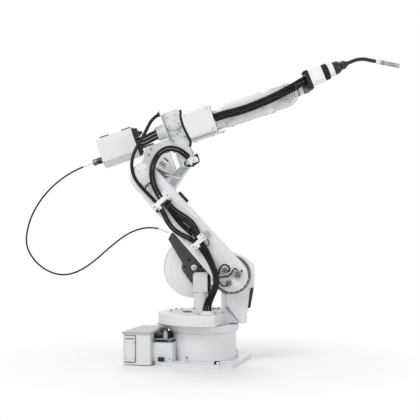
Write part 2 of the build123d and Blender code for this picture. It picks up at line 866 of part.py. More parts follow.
# Rail below the housing, reaching under the root of the forearm
rail_back = housing_back + housing_flange_thickness
rail_top = housing_bottom - housing_corner / 6 - seat_gap
with BuildPart() as housing_rail:
    with BuildSketch(upper.side(-rail_width / 2)):
        with BuildLine():
            Polyline(
                (rail_back, rail_top), (housing_front, rail_top), (housing_front, rail_top - rail_drop),
                (rail_back + rail_length, rail_top - rail_drop),
                (rail_back + rail_length, rail_top - rail_height), (rail_back, rail_top - rail_height),
                close=True,
            )
        make_face()
    extrude(amount=rail_width)
housing_rail.part.label = "housing_rail"
export_step(housing_rail.part, "parts/housing_rail.step")

# Wire feeder: a case with bevelled edges, its end plate and the foot on the casting
feeder_width = feeder_near + feeder_far
feeder_height = feeder_top - feeder_bottom
feeder_middle = (feeder_top + feeder_bottom) / 2
feeder_offset = (feeder_near - feeder_far) / 2
with BuildPart() as wire_feeder:
    with BuildSketch(upper.across(feeder_back, feeder_middle, feeder_offset)):
        Rectangle(feeder_width, feeder_height)
        chamfer(vertices(), feeder_bevel)
    extrude(amount=feeder_front - feeder_back)
wire_feeder.part.label = "wire_feeder"
export_step(wire_feeder.part, "parts/wire_feeder.step")

feeder_plate_back = feeder_front + seat_gap
with BuildPart() as feeder_bracket:
    with BuildSketch(upper.across(feeder_plate_back, feeder_middle, feeder_offset)):
        Rectangle(feeder_width - feeder_bevel, feeder_height - handle_height)
        chamfer(vertices(), feeder_plate_bevel)
    extrude(amount=feeder_plate_thickness)
    with BuildSketch(
        upper.over(casting_top + seat_gap, feeder_plate_back + feeder_foot_length / 2, feeder_offset)
    ):
        Rectangle(feeder_foot_length, feeder_foot_width)
    extrude(amount=feeder_foot_thickness)
feeder_bracket.part.label = "feeder_bracket"
export_step(feeder_bracket.part, "parts/feeder_bracket.step")

with BuildPart() as feeder_handles:
    for place in handle_places:
        with BuildSketch(upper.over(feeder_top + seat_gap, place, feeder_offset)):
            RectangleRounded(handle_length, handle_width, handle_height / 2)
        extrude(amount=handle_height)
feeder_handles.part.label = "feeder_handles"
export_step(feeder_handles.part, "parts/feeder_handles.step")

inlet_plane = upper.across(feeder_back - seat_gap, inlet_rise, feeder_offset)
with BuildPart() as feeder_inlet:
    with BuildSketch(inlet_plane):
        Circle(inlet_radius)
    extrude(amount=-inlet_collar)
    with BuildSketch(inlet_plane.offset(-inlet_collar)):
        Circle(inlet_neck_radius)
    with BuildSketch(inlet_plane.offset(-inlet_length)):
        Circle(inlet_tip_radius)
    loft()
feeder_inlet.part.label = "feeder_inlet"
export_step(feeder_inlet.part, "parts/feeder_inlet.step")

# Forearm: the turning root, the beam and the two cheeks of the wrist
forearm_start = housing_front + running_gap
forearm_beam_end = wrist_reach - forearm_beam_back
with BuildPart() as forearm_tube:
    with BuildSketch(upper.across(housing_front + seat_gap, forearm_rise)):
        Circle(forearm_neck_radius)
    extrude(amount=running_gap)
    with BuildSketch(upper.across(forearm_start, forearm_rise)):
        Circle(forearm_root_radius)
    extrude(amount=forearm_root_length)
    with BuildSketch(upper.across(forearm_start + forearm_root_length - overrun, forearm_rise)):
        RectangleRounded(forearm_width, forearm_height, forearm_corner)
    extrude(amount=forearm_beam_end - forearm_start - forearm_root_length + overrun)
    for depth in (cheek_inner, -cheek_outer):
        with BuildSketch(upper.side(depth, wrist_reach, forearm_rise)):
            Circle(cheek_radius)
            with Locations(((forearm_beam_end - wrist_reach) / 2 - overrun, 0)):
                Rectangle(wrist_reach - forearm_beam_end + overrun * 2, forearm_height)
        extrude(amount=cheek_outer - cheek_inner)
forearm_tube.part.label = "forearm_tube"
export_step(forearm_tube.part, "parts/forearm_tube.step")

with BuildPart() as forearm_band:
    with BuildSketch(upper.across(wrist_reach - band_back, forearm_rise)):
        RectangleRounded(
            forearm_width + band_thickness * 2, forearm_height + band_thickness * 2,
            forearm_corner + band_thickness,
        )
        RectangleRounded(
            forearm_width + seat_gap * 2, forearm_height + seat_gap * 2, forearm_corner + seat_gap,
            mode=Mode.SUBTRACT,
        )
    extrude(amount=band_length)
forearm_band.part.label = "forearm_band"
export_step(forearm_band.part, "parts/forearm_band.step")

# Round covers over the axis 5 bearings, one on each cheek
with BuildPart() as wrist_covers:
    for side in (1, -1):
        with BuildSketch(upper.side(side * (cheek_outer + seat_gap), wrist_reach, forearm_rise)):
            Circle(wrist_cover_radius)
        extrude(amount=side * wrist_cover_height)
        with BuildSketch(
            upper.side(side * (cheek_outer + seat_gap + wrist_cover_height), wrist_reach, forearm_rise)
        ):
            Circle(wrist_cover_step)
        extrude(amount=side * wrist_cover_height)
wrist_covers.part.label = "wrist_covers"
export_step(wrist_covers.part, "parts/wrist_covers.step")

# Wrist block: the barrel between the cheeks and the snout of axis 6
with BuildPart() as wrist_block:
    with BuildSketch(tool.side(-cheek_inner + seat_gap)):
        Circle(wrist_barrel_radius)
    extrude(amount=(cheek_inner - seat_gap) * 2)
    with BuildSketch(tool.across()):
        Circle(snout_radius)
    extrude(amount=snout_length)
wrist_block.part.label = "wrist_block"
export_step(wrist_block.part, "parts/wrist_block.step")

# Output flange of axis 6
with BuildPart() as output_flange:
    with BuildSketch(tool.across(snout_length + seat_gap)):
        Circle(output_flange_radius)
    extrude(amount=output_flange_thickness - seat_gap)
output_flange.part.label = "output_flange"
export_step(output_flange.part, "parts/output_flange.step")

# Tool plate that carries the torch beside axis 6
plate_start = snout_length + output_flange_thickness + seat_gap
with BuildPart() as tool_plate:
    with BuildSketch(tool.across(plate_start, torch_rise - tool_plate_drop, torch_depth)):
        with Locations((torch_depth - (tool_plate_width - torch_body_width) / 2, 0)):
            RectangleRounded(tool_plate_width, tool_plate_height, torch_body_corner / 2)
    extrude(amount=tool_plate_thickness)
tool_plate.part.label = "tool_plate"
export_step(tool_plate.part, "parts/tool_plate.step")

# Torch body, bellows and cap, one behind the other on the torch's own line
torch_start = plate_start + tool_plate_thickness + seat_gap
with BuildPart() as torch_body:
    with BuildSketch(tool.across(torch_start, torch_rise, torch_depth)):
        RectangleRounded(torch_body_width, torch_body_width, torch_body_corner)
    extrude(amount=torch_body_length)
torch_body.part.label = "torch_body"
export_step(torch_body.part, "parts/torch_body.step")

bellows_start = torch_start + torch_body_length + seat_gap
rib_pitch = bellows_length / bellows_ribs
with BuildPart() as torch_bellows:
    for i in range(bellows_ribs):
        with BuildSketch(tool.across(bellows_start + i * rib_pitch, torch_rise, torch_depth)):
            Circle(bellows_radius)
        extrude(amount=rib_pitch * bellows_rib_share)
        groove_start = bellows_start + (i + bellows_rib_share) * rib_pitch
        with BuildSketch(tool.across(groove_start, torch_rise, torch_depth)):
            Circle(bellows_radius - bellows_groove)
        extrude(amount=rib_pitch * (1 - bellows_rib_share))
torch_bellows.part.label = "torch_bellows"
export_step(torch_bellows.part, "parts/torch_bellows.step")

ring_start = bellows_start + bellows_length + seat_gap
with BuildPart() as torch_ring:
    with BuildSketch(tool.across(ring_start, torch_rise, torch_depth)):
        Circle(torch_ring_radius)
    extrude(amount=torch_ring_length)
torch_ring.part.label = "torch_ring"
export_step(torch_ring.part, "parts/torch_ring.step")

cap_start = ring_start + torch_ring_length + seat_gap
with BuildPart() as torch_cap:
    with BuildSketch(tool.across(cap_start, torch_rise, torch_depth)):
        Circle(torch_cap_radius)
    with BuildSketch(tool.across(cap_start + torch_cap_length / 2, torch_rise, torch_depth)):
        Circle(torch_cap_middle_radius)
    with BuildSketch(tool.across(cap_start + torch_cap_length, torch_rise, torch_depth)):
        Circle(torch_cap_tip_radius)
    loft()
    with BuildSketch(tool.across(cap_start + torch_cap_length, torch_rise, torch_depth)):
        RegularPolygon(torch_nut_radius, 6)
    extrude(amount=torch_nut_length)
torch_cap.part.label = "torch_cap"
export_step(torch_cap.part, "parts/torch_cap.step")

# Swan neck: straight out of the nut, then bent down to the nozzle
neck_start = cap_start + torch_cap_length + torch_nut_length + seat_gap
bend_point = neck_start + neck_straight
neck_drop = sin(radians(neck_bend))
neck_run = cos(radians(neck_bend))
with BuildPart() as swan_neck:
    with BuildLine():
        FilletPolyline(
            tool.point(neck_start, torch_rise, torch_depth),
            tool.point(bend_point, torch_rise, torch_depth),
            tool.point(
                bend_point + neck_reach * neck_run, torch_rise - neck_reach * neck_drop, torch_depth
            ),
            radius=neck_bend_radius,
        )
    with BuildSketch(tool.across(neck_start, torch_rise, torch_depth)):
        Circle(neck_radius)
    sweep()
swan_neck.part.label = "swan_neck"
export_step(swan_neck.part, "parts/swan_neck.step")

# Gas nozzle on the end of the neck
nozzle = Link(
    tool.point(
        bend_point + (neck_reach + seat_gap) * neck_run,
        torch_rise - (neck_reach + seat_gap) * neck_drop,
        torch_depth,
    ),
    upper_arm_tilt + torch_lift - neck_bend,
)
with BuildPart() as gas_nozzle:
    with BuildSketch(nozzle.across()):
        Circle(nozzle_radius)
    extrude(amount=nozzle_length)
    with BuildSketch(nozzle.across(nozzle_length)):
        Circle(nozzle_bore)
    extrude(amount=-nozzle_bore_depth, mode=Mode.SUBTRACT)
gas_nozzle.part.label = "gas_nozzle"
export_step(gas_nozzle.part, "parts/gas_nozzle.step")

# Leads from the feeder into the sleeve, in a column of three
lead_start = feeder_plate_back + feeder_plate_thickness + seat_gap
lead_way = bulkhead_along - seat_gap * 2 - lead_start
feeder_lead_shares = ((0, -0.6, 0), (0.26, -0.67, 0.08), (0.54, -0.2, 0.5), (0.81, 0, 0.92), (1, 0, 1))
with BuildPart() as feeder_leads:
    for i in (-1, 0, 1):
        add(hose(upper, [
            (lead_start + x * lead_way, sleeve_rise + y * feeder_lead_diameter + i * feeder_lead_spacing,
             z * sleeve_depth)
            for x, y, z in feeder_lead_shares
        ], feeder_lead_diameter))
feeder_leads.part.label = "feeder_leads"
export_step(feeder_leads.part, "parts/feeder_leads.step")

# Torch leads in three lengths, so that each crosses one joint: shares of the snout, torch rise and torch depth
rear_lead_shares = (
    (0, 0.226, 1.582), (0.213, 0.226, 1.582), (0.4615, 0, 1.582), (0.731, -0.065, 1.582), (1, 0.065, 1.582),
)
middle_lead_shares = (
    (-1.304, 0.065, 1.582), (-0.792, 0.161, 1.582), (-0.219, 0.435, 1.527), (0.302, 0.71, 1.418),
)
front_lead_shares = (
    (0.323, 0.723, 1.413), (0.604, 0.89, 1.327), (0.875, 1.116, 1.091), (1.097, 1.181, 1.036),
)


def lead_route(shares, start, size):
    """A route beside the forearm from shares of the run, of the torch's rise and of its depth."""
    return [(start + x * size, forearm_rise + y * torch_rise, z * torch_depth) for x, y, z in shares]


lead_split = wrist_reach - lead_split_back
torch_leads = {
    "torch_leads_rear": lead_route(
        rear_lead_shares, housing_front + seat_gap, lead_split - housing_front - seat_gap
    ),
    "torch_leads_middle": lead_route(middle_lead_shares, wrist_reach, snout_length),
    "torch_leads_front": lead_route(front_lead_shares, wrist_reach, snout_length),
}
for name, points in torch_leads.items():
    with BuildPart() as torch_lead:
        for shift in (torch_lead_spacing / 2, -torch_lead_spacing / 2):
            add(hose(upper, beside(points, shift), torch_lead_diameter))
    torch_lead.part.label = name
    export_step(torch_lead.part, "parts/" + name + ".step")

# Hoses between the two clamps: shares of the way up, of a clamp's length and of a hose's thickness
left_hose_shares = (
    (0.988, 0.239, 0), (0.891, 0.261, 0.173), (0.767, 0.348, 0.355), (0.632, 0.457, 0.355),
    (0.484, 0.5, 0.173), (0.341, 0.402, 0), (0.217, 0.261, 0), (0.109, 0.141, 0), (0.012, 0.087, 0),
)
right_hose_shares = (
    (0.988, -0.109, 0), (0.891, -0.12, 0.264), (0.767, -0.13, 0.627), (0.632, -0.196, 0.718),
    (0.496, -0.326, 0.536), (0.349, -0.391, 0.264), (0.217, -0.337, 0.082), (0.109, -0.217, 0),
    (0.012, -0.163, 0),
)
sleeve_hose_shares = ((0.81, -0.05, 0), (0.6, 0.02, 0), (0.4, 0.02, 0), (0.17, -0.08, 0))
clamp_span = upper_clamp_along - lower_clamp_along
clamp_bed = lower_face + clamp_bar_thickness + seat_gap * 2
with BuildPart() as arm_hoses:
    for shares, places in ((left_hose_shares, (0.5, -0.5)), (right_hose_shares, (1, 0, -1))):
        route = [
            (lower_clamp_along + x * clamp_span, clamp_offset + y * clamp_length,
             clamp_bed + (z + 1 / 2) * arm_hose_diameter)
            for x, y, z in shares
        ]
        for place in places:
            add(hose(lower, beside(route, place * arm_hose_spacing), arm_hose_diameter))
    sleeve_depth_on_arm = lower_face + seat_gap + arm_hose_diameter / 2
    for place in (0.5, -0.5):
        sleeve_route = [
            (lower_clamp_along + x * clamp_span, clamp_offset + y * clamp_length, sleeve_depth_on_arm)
            for x, y, z in sleeve_hose_shares
        ]
        add(hose(lower, beside(sleeve_route, place * arm_hose_spacing), arm_hose_diameter))
arm_hoses.part.label = "arm_hoses"
export_step(arm_hoses.part, "parts/arm_hoses.step")

# Hoses from the lower clamp round the shoulder into the gland
shoulder_hose_shares = (
    (-1.198, 1.171, 1.414), (-1.009, 0.838, 1.45), (-0.82, 0.441, 1.5), (-0.665, 0.009, 1.523),
    (-0.66, -0.423, 1.523), (-0.85, -0.82, 1.455), (-1.02, -1.15, 1.38),
)
shoulder_hose_turns = (0, 15, 40, 55, 60, 60, 50, 30, 0)
shoulder_hose_start = lower.point(
    lower_clamp_along - seat_gap * 2, clamp_offset - overrun, clamp_bed + hose_diameter / 2
)
shoulder_hose_end = gland.origin + up * (gland_height + gland_collar_height * 2)
with BuildPart() as shoulder_hoses:
    shoulder_route = (
        [shoulder.local(shoulder_hose_start)] + scaled(shoulder_hose_shares, ear_size)
        + [shoulder.local(shoulder_hose_end)]
    )
    for shift in (hose_spacing, 0, -hose_spacing):
        add(hose(shoulder, twisted(shoulder_route, shift, shoulder_hose_turns), hose_diameter))
shoulder_hoses.part.label = "shoulder_hoses"
export_step(shoulder_hoses.part, "parts/shoulder_hoses.step")

# Hoses from the upper clamp round the elbow
rear_hose_shares = (
    (0.64, 1.25, 0.38), (0.48, 1.11, 0.43), (0.31, 0.93, 0.49), (0.13, 0.775, 0.55), (-0.04, 0.61, 0.6),
    (-0.16, 0.42, 0.65), (-0.215, 0.21, 0.7), (-0.2, -0.01, 0.75), (-0.11, -0.25, 0.785),
    (0.005, -0.48, 0.785),
)
front_hose_shares = (
    (1.06, 0.25, 0.39), (0.92, 0.39, 0.44), (0.75, 0.46, 0.51), (0.56, 0.43, 0.61), (0.39, 0.31, 0.69),
    (0.26, 0.14, 0.745), (0.19, -0.05, 0.78), (0.165, -0.265, 0.795), (0.185, -0.46, 0.785),
)
rear_hose_end = lower.point(
    upper_clamp_along + overrun, clamp_offset + rear_hose_offset, clamp_bed + rear_hose_diameter / 2
)
front_hose_end = lower.point(
    upper_clamp_along + seat_gap * 2, clamp_offset - front_hose_offset, clamp_bed + hose_diameter / 2
)
with BuildPart() as elbow_hoses:
    rear_route = (
        [(bulkhead_along - rear_hose_inset, rear_hose_rise, rear_hose_depth)]
        + scaled(rear_hose_shares, casting_size) + [upper.local(rear_hose_end)]
    )
    front_route = (
        [(port_along, port_rise, port_depth)] + scaled(front_hose_shares, casting_size)
        + [upper.local(front_hose_end)]
    )
    add(hose(upper, rear_route, rear_hose_diameter))
    for shift in (hose_spacing / 2, -hose_spacing / 2):
        add(hose(upper, beside(front_route, shift), hose_diameter))
elbow_hoses.part.label = "elbow_hoses"
export_step(elbow_hoses.part, "parts/elbow_hoses.step")

# Wire conduit from the feeder's inlet to the spool, in two lengths that meet half-way
conduit_upper_route = (
    (-532.9, 949.5, -18.5), (-576, 934.5, -18.5), (-660, 893, -20), (-747, 822, -24), (-812, 735, -32),
    (-849, 649, -42), (-856, 600, -48),
)
conduit_lower_route = (
    (-856.1, 599.2, -48.1), (-862, 551, -54), (-820, 474, -66), (-756, 424, -78), (-684, 404, -88),
    (-611, 422, -96), (-536, 472, -102), (-461, 540, -106), (-375, 608, -108), (-300, 636, -108),
    (-237, 637, -108), (-199, 625, -108), (-168, 612, -108),
)
for name, points in {"conduit_upper": conduit_upper_route, "conduit_lower": conduit_lower_route}.items():
    conduit = hose(column, points, conduit_diameter)
    conduit.label = name
    export_step(conduit, "parts/" + name + ".step")
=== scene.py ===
from itertools import product
from math import cos, pi, radians, sin

import bmesh
import bpy
from mathutils import Matrix, Vector


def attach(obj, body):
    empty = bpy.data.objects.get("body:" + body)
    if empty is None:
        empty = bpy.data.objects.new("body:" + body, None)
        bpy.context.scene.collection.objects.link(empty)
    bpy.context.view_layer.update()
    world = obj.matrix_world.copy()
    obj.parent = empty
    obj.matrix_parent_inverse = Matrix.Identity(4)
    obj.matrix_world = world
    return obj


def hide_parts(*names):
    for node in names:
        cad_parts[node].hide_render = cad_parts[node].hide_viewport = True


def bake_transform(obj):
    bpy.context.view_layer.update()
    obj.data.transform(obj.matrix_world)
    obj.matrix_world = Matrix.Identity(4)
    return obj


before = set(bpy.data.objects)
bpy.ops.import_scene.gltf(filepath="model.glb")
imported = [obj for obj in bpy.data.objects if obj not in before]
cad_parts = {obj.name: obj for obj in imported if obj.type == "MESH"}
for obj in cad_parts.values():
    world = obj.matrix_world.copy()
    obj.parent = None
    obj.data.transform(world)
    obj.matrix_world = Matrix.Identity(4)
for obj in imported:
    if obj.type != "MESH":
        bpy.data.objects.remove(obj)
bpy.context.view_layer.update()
bpy.context.scene.view_settings.view_transform = "Standard"

# Studio: a pale floor that runs into a white surround, three soft lamps and a long lens, level and
# square to the plane in which the arm bends.
arm_yaw = 15.5
camera_distance = 5.6
camera_height = 0.797


def linear(colour):
    """An sRGB hex colour as the linear numbers that a shader takes."""
    parts = [int(colour[i:i + 2], 16) / 255 for i in (1, 3, 5)]
    return [c / 12.92 if c <= 0.04045 else ((c + 0.055) / 1.055) ** 2.4 for c in parts] + [1]


def add_node(tree, kind, sockets={}, **settings):
    """Adds a node with its settings; each socket gets a value, or a link from another node's output."""
    node = tree.nodes.new("ShaderNode" + kind)
    for name, value in settings.items():
        setattr(node, name, value)
    for name, value in sockets.items():
        if isinstance(value, bpy.types.NodeSocket):
            tree.links.new(value, node.inputs[name])
        else:
            node.inputs[name].default_value = value
    return node


def seen_plainly(tree):
    """1 where the camera sees a surface itself, in a gloss or through glass, and 0 for the light it throws."""
    rays = add_node(tree, "LightPath").outputs
    seen = add_node(tree, "Math", {0: rays["Is Camera Ray"], 1: rays["Is Glossy Ray"]}, operation="ADD")
    return add_node(
        tree, "Math", {0: seen.outputs[0], 1: rays["Is Transmission Ray"]}, operation="ADD", use_clamp=True
    ).outputs[0]


world = bpy.data.worlds.new("studio")
bpy.context.scene.world = world
world.use_nodes = True
sky = world.node_tree
surround = add_node(sky, "Background", {"Color": linear("#ffffff"), "Strength": 1.0})
soft_light = add_node(sky, "Background", {"Color": linear("#f4f6f8"), "Strength": 0.52})
either = add_node(sky, "MixShader", {0: seen_plainly(sky), 1: soft_light.outputs[0], 2: surround.outputs[0]})
sky.links.new(either.outputs[0], sky.nodes["World Output"].inputs["Surface"])

floor_paint = bpy.data.materials.new("floor_screed_white")
floor_paint.use_nodes = True
screed = floor_paint.node_tree
paint = screed.nodes["Principled BSDF"]
paint.inputs["Base Color"].default_value = linear("#f1f1f0")
paint.inputs["Roughness"].default_value = 0.8
glow = add_node(screed, "Emission", {"Color": linear("#ffffff"), "Strength": 1.0})
away = add_node(screed, "VectorMath", {0: add_node(screed, "TexCoord").outputs["Object"]}, operation="LENGTH")
fade = add_node(screed, "MapRange", {"Value": away.outputs["Value"], "From Min": 0.35, "From Max": 1.1})
lit = add_node(screed, "Math", {0: fade.outputs[0], 1: seen_plainly(screed)}, operation="MULTIPLY")
faded = add_node(screed, "MixShader", {0: lit.outputs[0], 1: paint.outputs[0], 2: glow.outputs[0]})
screed.links.new(faded.outputs[0], screed.nodes["Material Output"].inputs["Surface"])

bm = bmesh.new()
bmesh.ops.create_circle(bm, cap_ends=True, segments=96, radius=14)
floor_mesh = bpy.data.meshes.new("floor")
bm.to_mesh(floor_mesh)
bm.free()
floor_mesh.materials.append(floor_paint)
floor = bpy.data.objects.new("floor", floor_mesh)
bpy.context.collection.objects.link(floor)

forward = Vector((cos(radians(arm_yaw)), sin(radians(arm_yaw)), 0))
near = Vector((sin(radians(arm_yaw)), -cos(radians(arm_yaw)), 0))
lamps = (
    ("key_lamp", forward * -1.9 + near * 2.6 + Vector((0, 0, 3.1)), 2.1, 76),
    ("fill_lamp", forward * 2.6 + near * 2.0 + Vector((0, 0, 1.6)), 2.6, 22),
    ("back_lamp", near * -2.6 + Vector((0, 0, 2.8)), 2.4, 44),
)
for name, place, width, watts in lamps:
    lamp = bpy.data.lights.new(name, "AREA")
    lamp.shape = "DISK"
    lamp.size = width
    lamp.energy = watts
    lamp_object = bpy.data.objects.new(name, lamp)
    lamp_object.location = place
    lamp_object.rotation_euler = (Vector((0, 0, 0.6)) - place).to_track_quat("-Z", "Y").to_euler()
    bpy.context.collection.objects.link(lamp_object)

lens = bpy.data.cameras.new("camera")
lens.sensor_width = 36
lens.lens = 100.2
lens.shift_y = -0.036
camera = bpy.data.objects.new("camera", lens)
camera.location = forward * 0.03 + near * camera_distance + Vector((0, 0, camera_height))
camera.rotation_euler = (radians(90), 0, radians(arm_yaw))
bpy.context.collection.objects.link(camera)
bpy.context.scene.camera = camera

# Members of the arm: each is a frame in millimetres with x along the member, y up from it and z out
# to the arm's right side, where the hoses are. They are joined at axes 2, 3 and 5. The floor
# frame is the base's, square to its plate.
lower_arm_length = 619
lower_arm_lean = 131.7
upper_lean = 19
wrist_reach = 766
wrist_rise = 150
tool_lean = 3
millimetres = Matrix.Scale(0.001, 4)
upright = Matrix.Rotation(pi / 2, 4, "X")
floor_frame = millimetres @ upright
column = millimetres @ Matrix.Rotation(radians(arm_yaw), 4, "Z") @ upright
shoulder = column @ Matrix.Translation((132, 419, 0))
lower = shoulder @ Matrix.Rotation(radians(lower_arm_lean), 4, "Z")
elbow = lower @ Matrix.Translation((lower_arm_length, 0, 0))
upper = elbow @ Matrix.Rotation(radians(upper_lean - lower_arm_lean), 4, "Z")
wrist = upper @ Matrix.Translation((wrist_reach, wrist_rise, 0))
tool = wrist @ Matrix.Rotation(radians(tool_lean), 4, "Z")
facing = {
    "side": Matrix(), "far": Matrix.Rotation(pi, 4, "X"),
    "over": Matrix.Rotation(-pi / 2, 4, "X"), "under": Matrix.Rotation(pi / 2, 4, "X"),
    "front": Matrix.Rotation(pi / 2, 4, "Y"), "back": Matrix.Rotation(-pi / 2, 4, "Y"),
}


def at(x, y, depth=0, face="side", turn=0):
    """A pose on a member whose z points out of the named face, turned about that z."""
    return Matrix.Translation((x, y, depth)) @ facing[face] @ Matrix.Rotation(radians(turn), 4, "Z")


def bar(bm, pose, radius, length, tip=None, sides=48):
    """A round bar, or a taper to another tip radius, that runs from the pose along its z."""
    return bmesh.ops.create_cone(
        bm, cap_ends=True, segments=sides, radius1=radius, radius2=radius if tip is None else tip,
        depth=length, matrix=pose @ Matrix.Translation((0, 0, length / 2)),
    )["verts"]


def block(bm, pose, length, width, height):
    """A block with its foot centred on the pose."""
    return bmesh.ops.create_cube(
        bm, size=1, matrix=pose @ Matrix.Translation((0, 0, height / 2)) @ Matrix.Diagonal((length, width, height, 1))
    )["verts"]


def slab(bm, pose, outline, height):
    """A plate with the given outline, raised from the pose."""
    face = bm.faces.new([bm.verts.new(pose @ Vector((x, y, 0))) for x, y in outline])
    risen = bmesh.ops.extrude_face_region(bm, geom=[face])["geom"]
    lift = pose.to_3x3() @ Vector((0, 0, height))
    bmesh.ops.translate(bm, verts=[v for v in risen if isinstance(v, bmesh.types.BMVert)], vec=lift)


def cap_screw(bm, pose, size):
    """A socket head screw: a round head with a recess, 1.5 times as wide as its thread."""
    head = bar(bm, pose, size * 0.75, size * 0.7, sides=20)
    top = max({f for v in head for f in v.link_faces}, key=lambda f: (pose.inverted() @ f.calc_center_median()).z)
    bmesh.ops.inset_individual(bm, faces=[top], thickness=size * 0.3)
    bmesh.ops.translate(bm, verts=top.verts, vec=pose.to_3x3() @ Vector((0, 0, -size * 0.35)))


def hex_bolt(bm, pose, size):
    """A hexagon head on its washer."""
    bar(bm, pose, size, size * 0.16, sides=24)
    bar(bm, pose @ Matrix.Translation((0, 0, size * 0.16)), size * 0.86, size * 0.6, sides=6)


def piece(name, bm, place, material, body, edge=0.0):
    """Sets a mesh on its member, rounds its edges by so many millimetres and lets it ride on its body."""
    bmesh.ops.transform(bm, matrix=place, verts=bm.verts)
    bmesh.ops.recalc_face_normals(bm, faces=bm.faces)
    mesh = bpy.data.meshes.new(name)
    bm.to_mesh(mesh)
    bm.free()
    mesh.materials.append(material)
    mesh.shade_smooth()
    made = bpy.data.objects.new(name, mesh)
    bpy.context.collection.objects.link(made)
    if edge:
        rounding = made.modifiers.new("rounding", "BEVEL")
        rounding.width = edge / 1000
        rounding.segments = 2
        rounding.angle_limit = radians(35)
        made.modifiers.new("even_normals", "WEIGHTED_NORMAL").keep_sharp = True
    else:
        mesh.set_sharp_from_angle(angle=radians(35))
    if body:
        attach(made, body)
    return made


def casting(node, material, body, edge):
    """A copy of a CAD solid, with its loose triangles joined and its edges rounded as a casting's are."""
    bm = bmesh.new()
    bm.from_mesh(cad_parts[node].data)
    bmesh.ops.remove_doubles(bm, verts=bm.verts, dist=2e-5)
    bmesh.ops.dissolve_limit(bm, angle_limit=radians(0.5), verts=bm.verts, edges=bm.edges)
    sharp = [e for e in bm.edges if e.is_manifold and e.calc_face_angle(0) > radians(25)]
    bmesh.ops.bevel(
        bm, geom=sharp, offset=edge / 1000, segments=3, affect="EDGES", profile=0.5, material=-1, clamp_overlap=True
    )
    made = piece(node + "_rounded", bm, Matrix(), material, body)
    made.modifiers.new("even_normals", "WEIGHTED_NORMAL").keep_sharp = True
    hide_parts(node)
    return made


def dress(material, *nodes):
    """Gives CAD parts that keep their shape their real finish."""
    for node in nodes:
        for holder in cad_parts[node].material_slots:
            holder.material = material


def grained(name, colour, shade, roughness, grain, depth, metallic=0.0):
    """A finish with grain of that size and depth in millimetres, and slow changes of tone between two colours."""
    material = bpy.data.materials.new(name)
    material.use_nodes = True
    tree = material.node_tree
    place = add_node(tree, "TexCoord").outputs["Object"]
    patches = add_node(tree, "TexNoise", {"Vector": place, "Scale": 11.0, "Detail": 4.0, "Roughness": 0.6})
    tone = add_node(tree, "Mix", {0: patches.outputs[0], 6: linear(colour), 7: linear(shade)}, data_type="RGBA")
    polish = add_node(
        tree, "MapRange", {"Value": patches.outputs[0], "To Min": roughness * 0.85, "To Max": roughness * 1.2}
    )
    grains = add_node(tree, "TexNoise", {"Vector": place, "Scale": 1000 / grain, "Detail": 2.0})
    bumps = add_node(tree, "Bump", {"Height": grains.outputs[0], "Distance": depth / 1000, "Strength": 0.6})
    shader = tree.nodes["Principled BSDF"]
    shader.inputs["Metallic"].default_value = metallic
    tree.links.new(tone.outputs[2], shader.inputs["Base Color"])
    tree.links.new(polish.outputs[0], shader.inputs["Roughness"])
    tree.links.new(bumps.outputs[0], shader.inputs["Normal"])
    return material


# Base: a round iron drum and its bearing flange on a floor plate with four bolt holes, all in the same
# sprayed enamel, whose faint orange peel is about 2 mm across and softens each highlight.
sprayed_enamel = grained("sprayed_enamel", "#e6e7e8", "#dedfe1", 0.34, 2.2, 0.05)
for node, edge in (("base_plate", 2.5), ("base_drum", 2.0), ("drum_flange", 2.5), ("stop_block", 2.0)):
    casting(node, sprayed_enamel, "base", edge)

# Cable box: folded steel sheet with a louvred panel let into its side and a lid that overhangs it. Beside it
# the connector box has a cover plate with a cable post, the supply socket and three gaiters at its back.
sheet_enamel = grained("powder_coated_sheet", "#e2e3e4", "#dadcdd", 0.42, 1.1, 0.02)
# A grey sheet finish for some covers and brackets, which also paints the shade on the lid's top, the ear's rib and
# the web's panel.
grey_sheet_and_shade = grained("grey_sheet_and_painted_shade", "#b4b6b8", "#a6a8ab", 0.45, 1.1, 0.02)
black_nylon = grained("moulded_black_nylon", "#0f1011", "#0b0c0d", 0.4, 0.7, 0.03)
zinc_screws = grained("zinc_plated_screws", "#b9bcbf", "#a4a8ab", 0.3, 0.5, 0.01, 1.0)


def fixings(name, bm, place, body):
    """Zinc-plated screws and bolts in one piece."""
    piece(name, bm, place, zinc_screws, body)


# The cable box lid takes the grey finish as painted shade on its top.
for node, sheet in (("cable_box", sheet_enamel), ("connector_box", sheet_enamel), ("cable_box_lid", grey_sheet_and_shade)):
    casting(node, sheet, "base", 1.5)
dress(black_nylon, "base_socket")
box_side = 220.8
panel_middle = -297
bm = bmesh.new()
for rise in (146, 129, 20):
    hood = block(bm, at(panel_middle, rise, box_side), 47, 7, 3.2)
    lowest = [v for v in hood if v.co.y < rise and v.co.z > box_side + 1]
    bmesh.ops.translate(bm, verts=lowest, vec=(0, 3.5, 0))
piece("panel_louvres", bm, floor_frame, sheet_enamel, "base", 0.6)
# Black strips paint the shade in the louvres' openings and the shadow line along the panel's step.
bm = bmesh.new()
for rise in (140.6, 123.6, 14.6):
    block(bm, at(panel_middle, rise, box_side), 45, 3.8, 0.6)
block(bm, at(-268.5, 78, 221), 0.9, 130, 4.3)
piece("louvre_and_step_painted_shade", bm, floor_frame, black_nylon, "base")
bm = bmesh.new()
for x, rise in product((-314, -274), (34, 108)):
    bar(bm, at(x, rise, box_side), 3.1, 1.6, sides=20)
for x, rise in product((-190, -112), (34, 118)):
    cap_screw(bm, at(x, rise, 190.2), 4)
for depth in (-52, 60, 172, 217):
    bar(bm, at(-262.8, 158, depth, "over"), 4, 1.8, sides=20)
fixings("box_screws", bm, floor_frame, "base")
bm = bmesh.new()
block(bm, at(-151, 120.5, 146, "over"), 92, 70, 2.2)
bar(bm, at(-137, 122, 172, "over"), 10, 30, sides=32)
bar(bm, at(-137, 152, 172, "over"), 8, 8, 7, sides=32)
piece("connector_cover", bm, floor_frame, grey_sheet_and_shade, "base", 0.8)
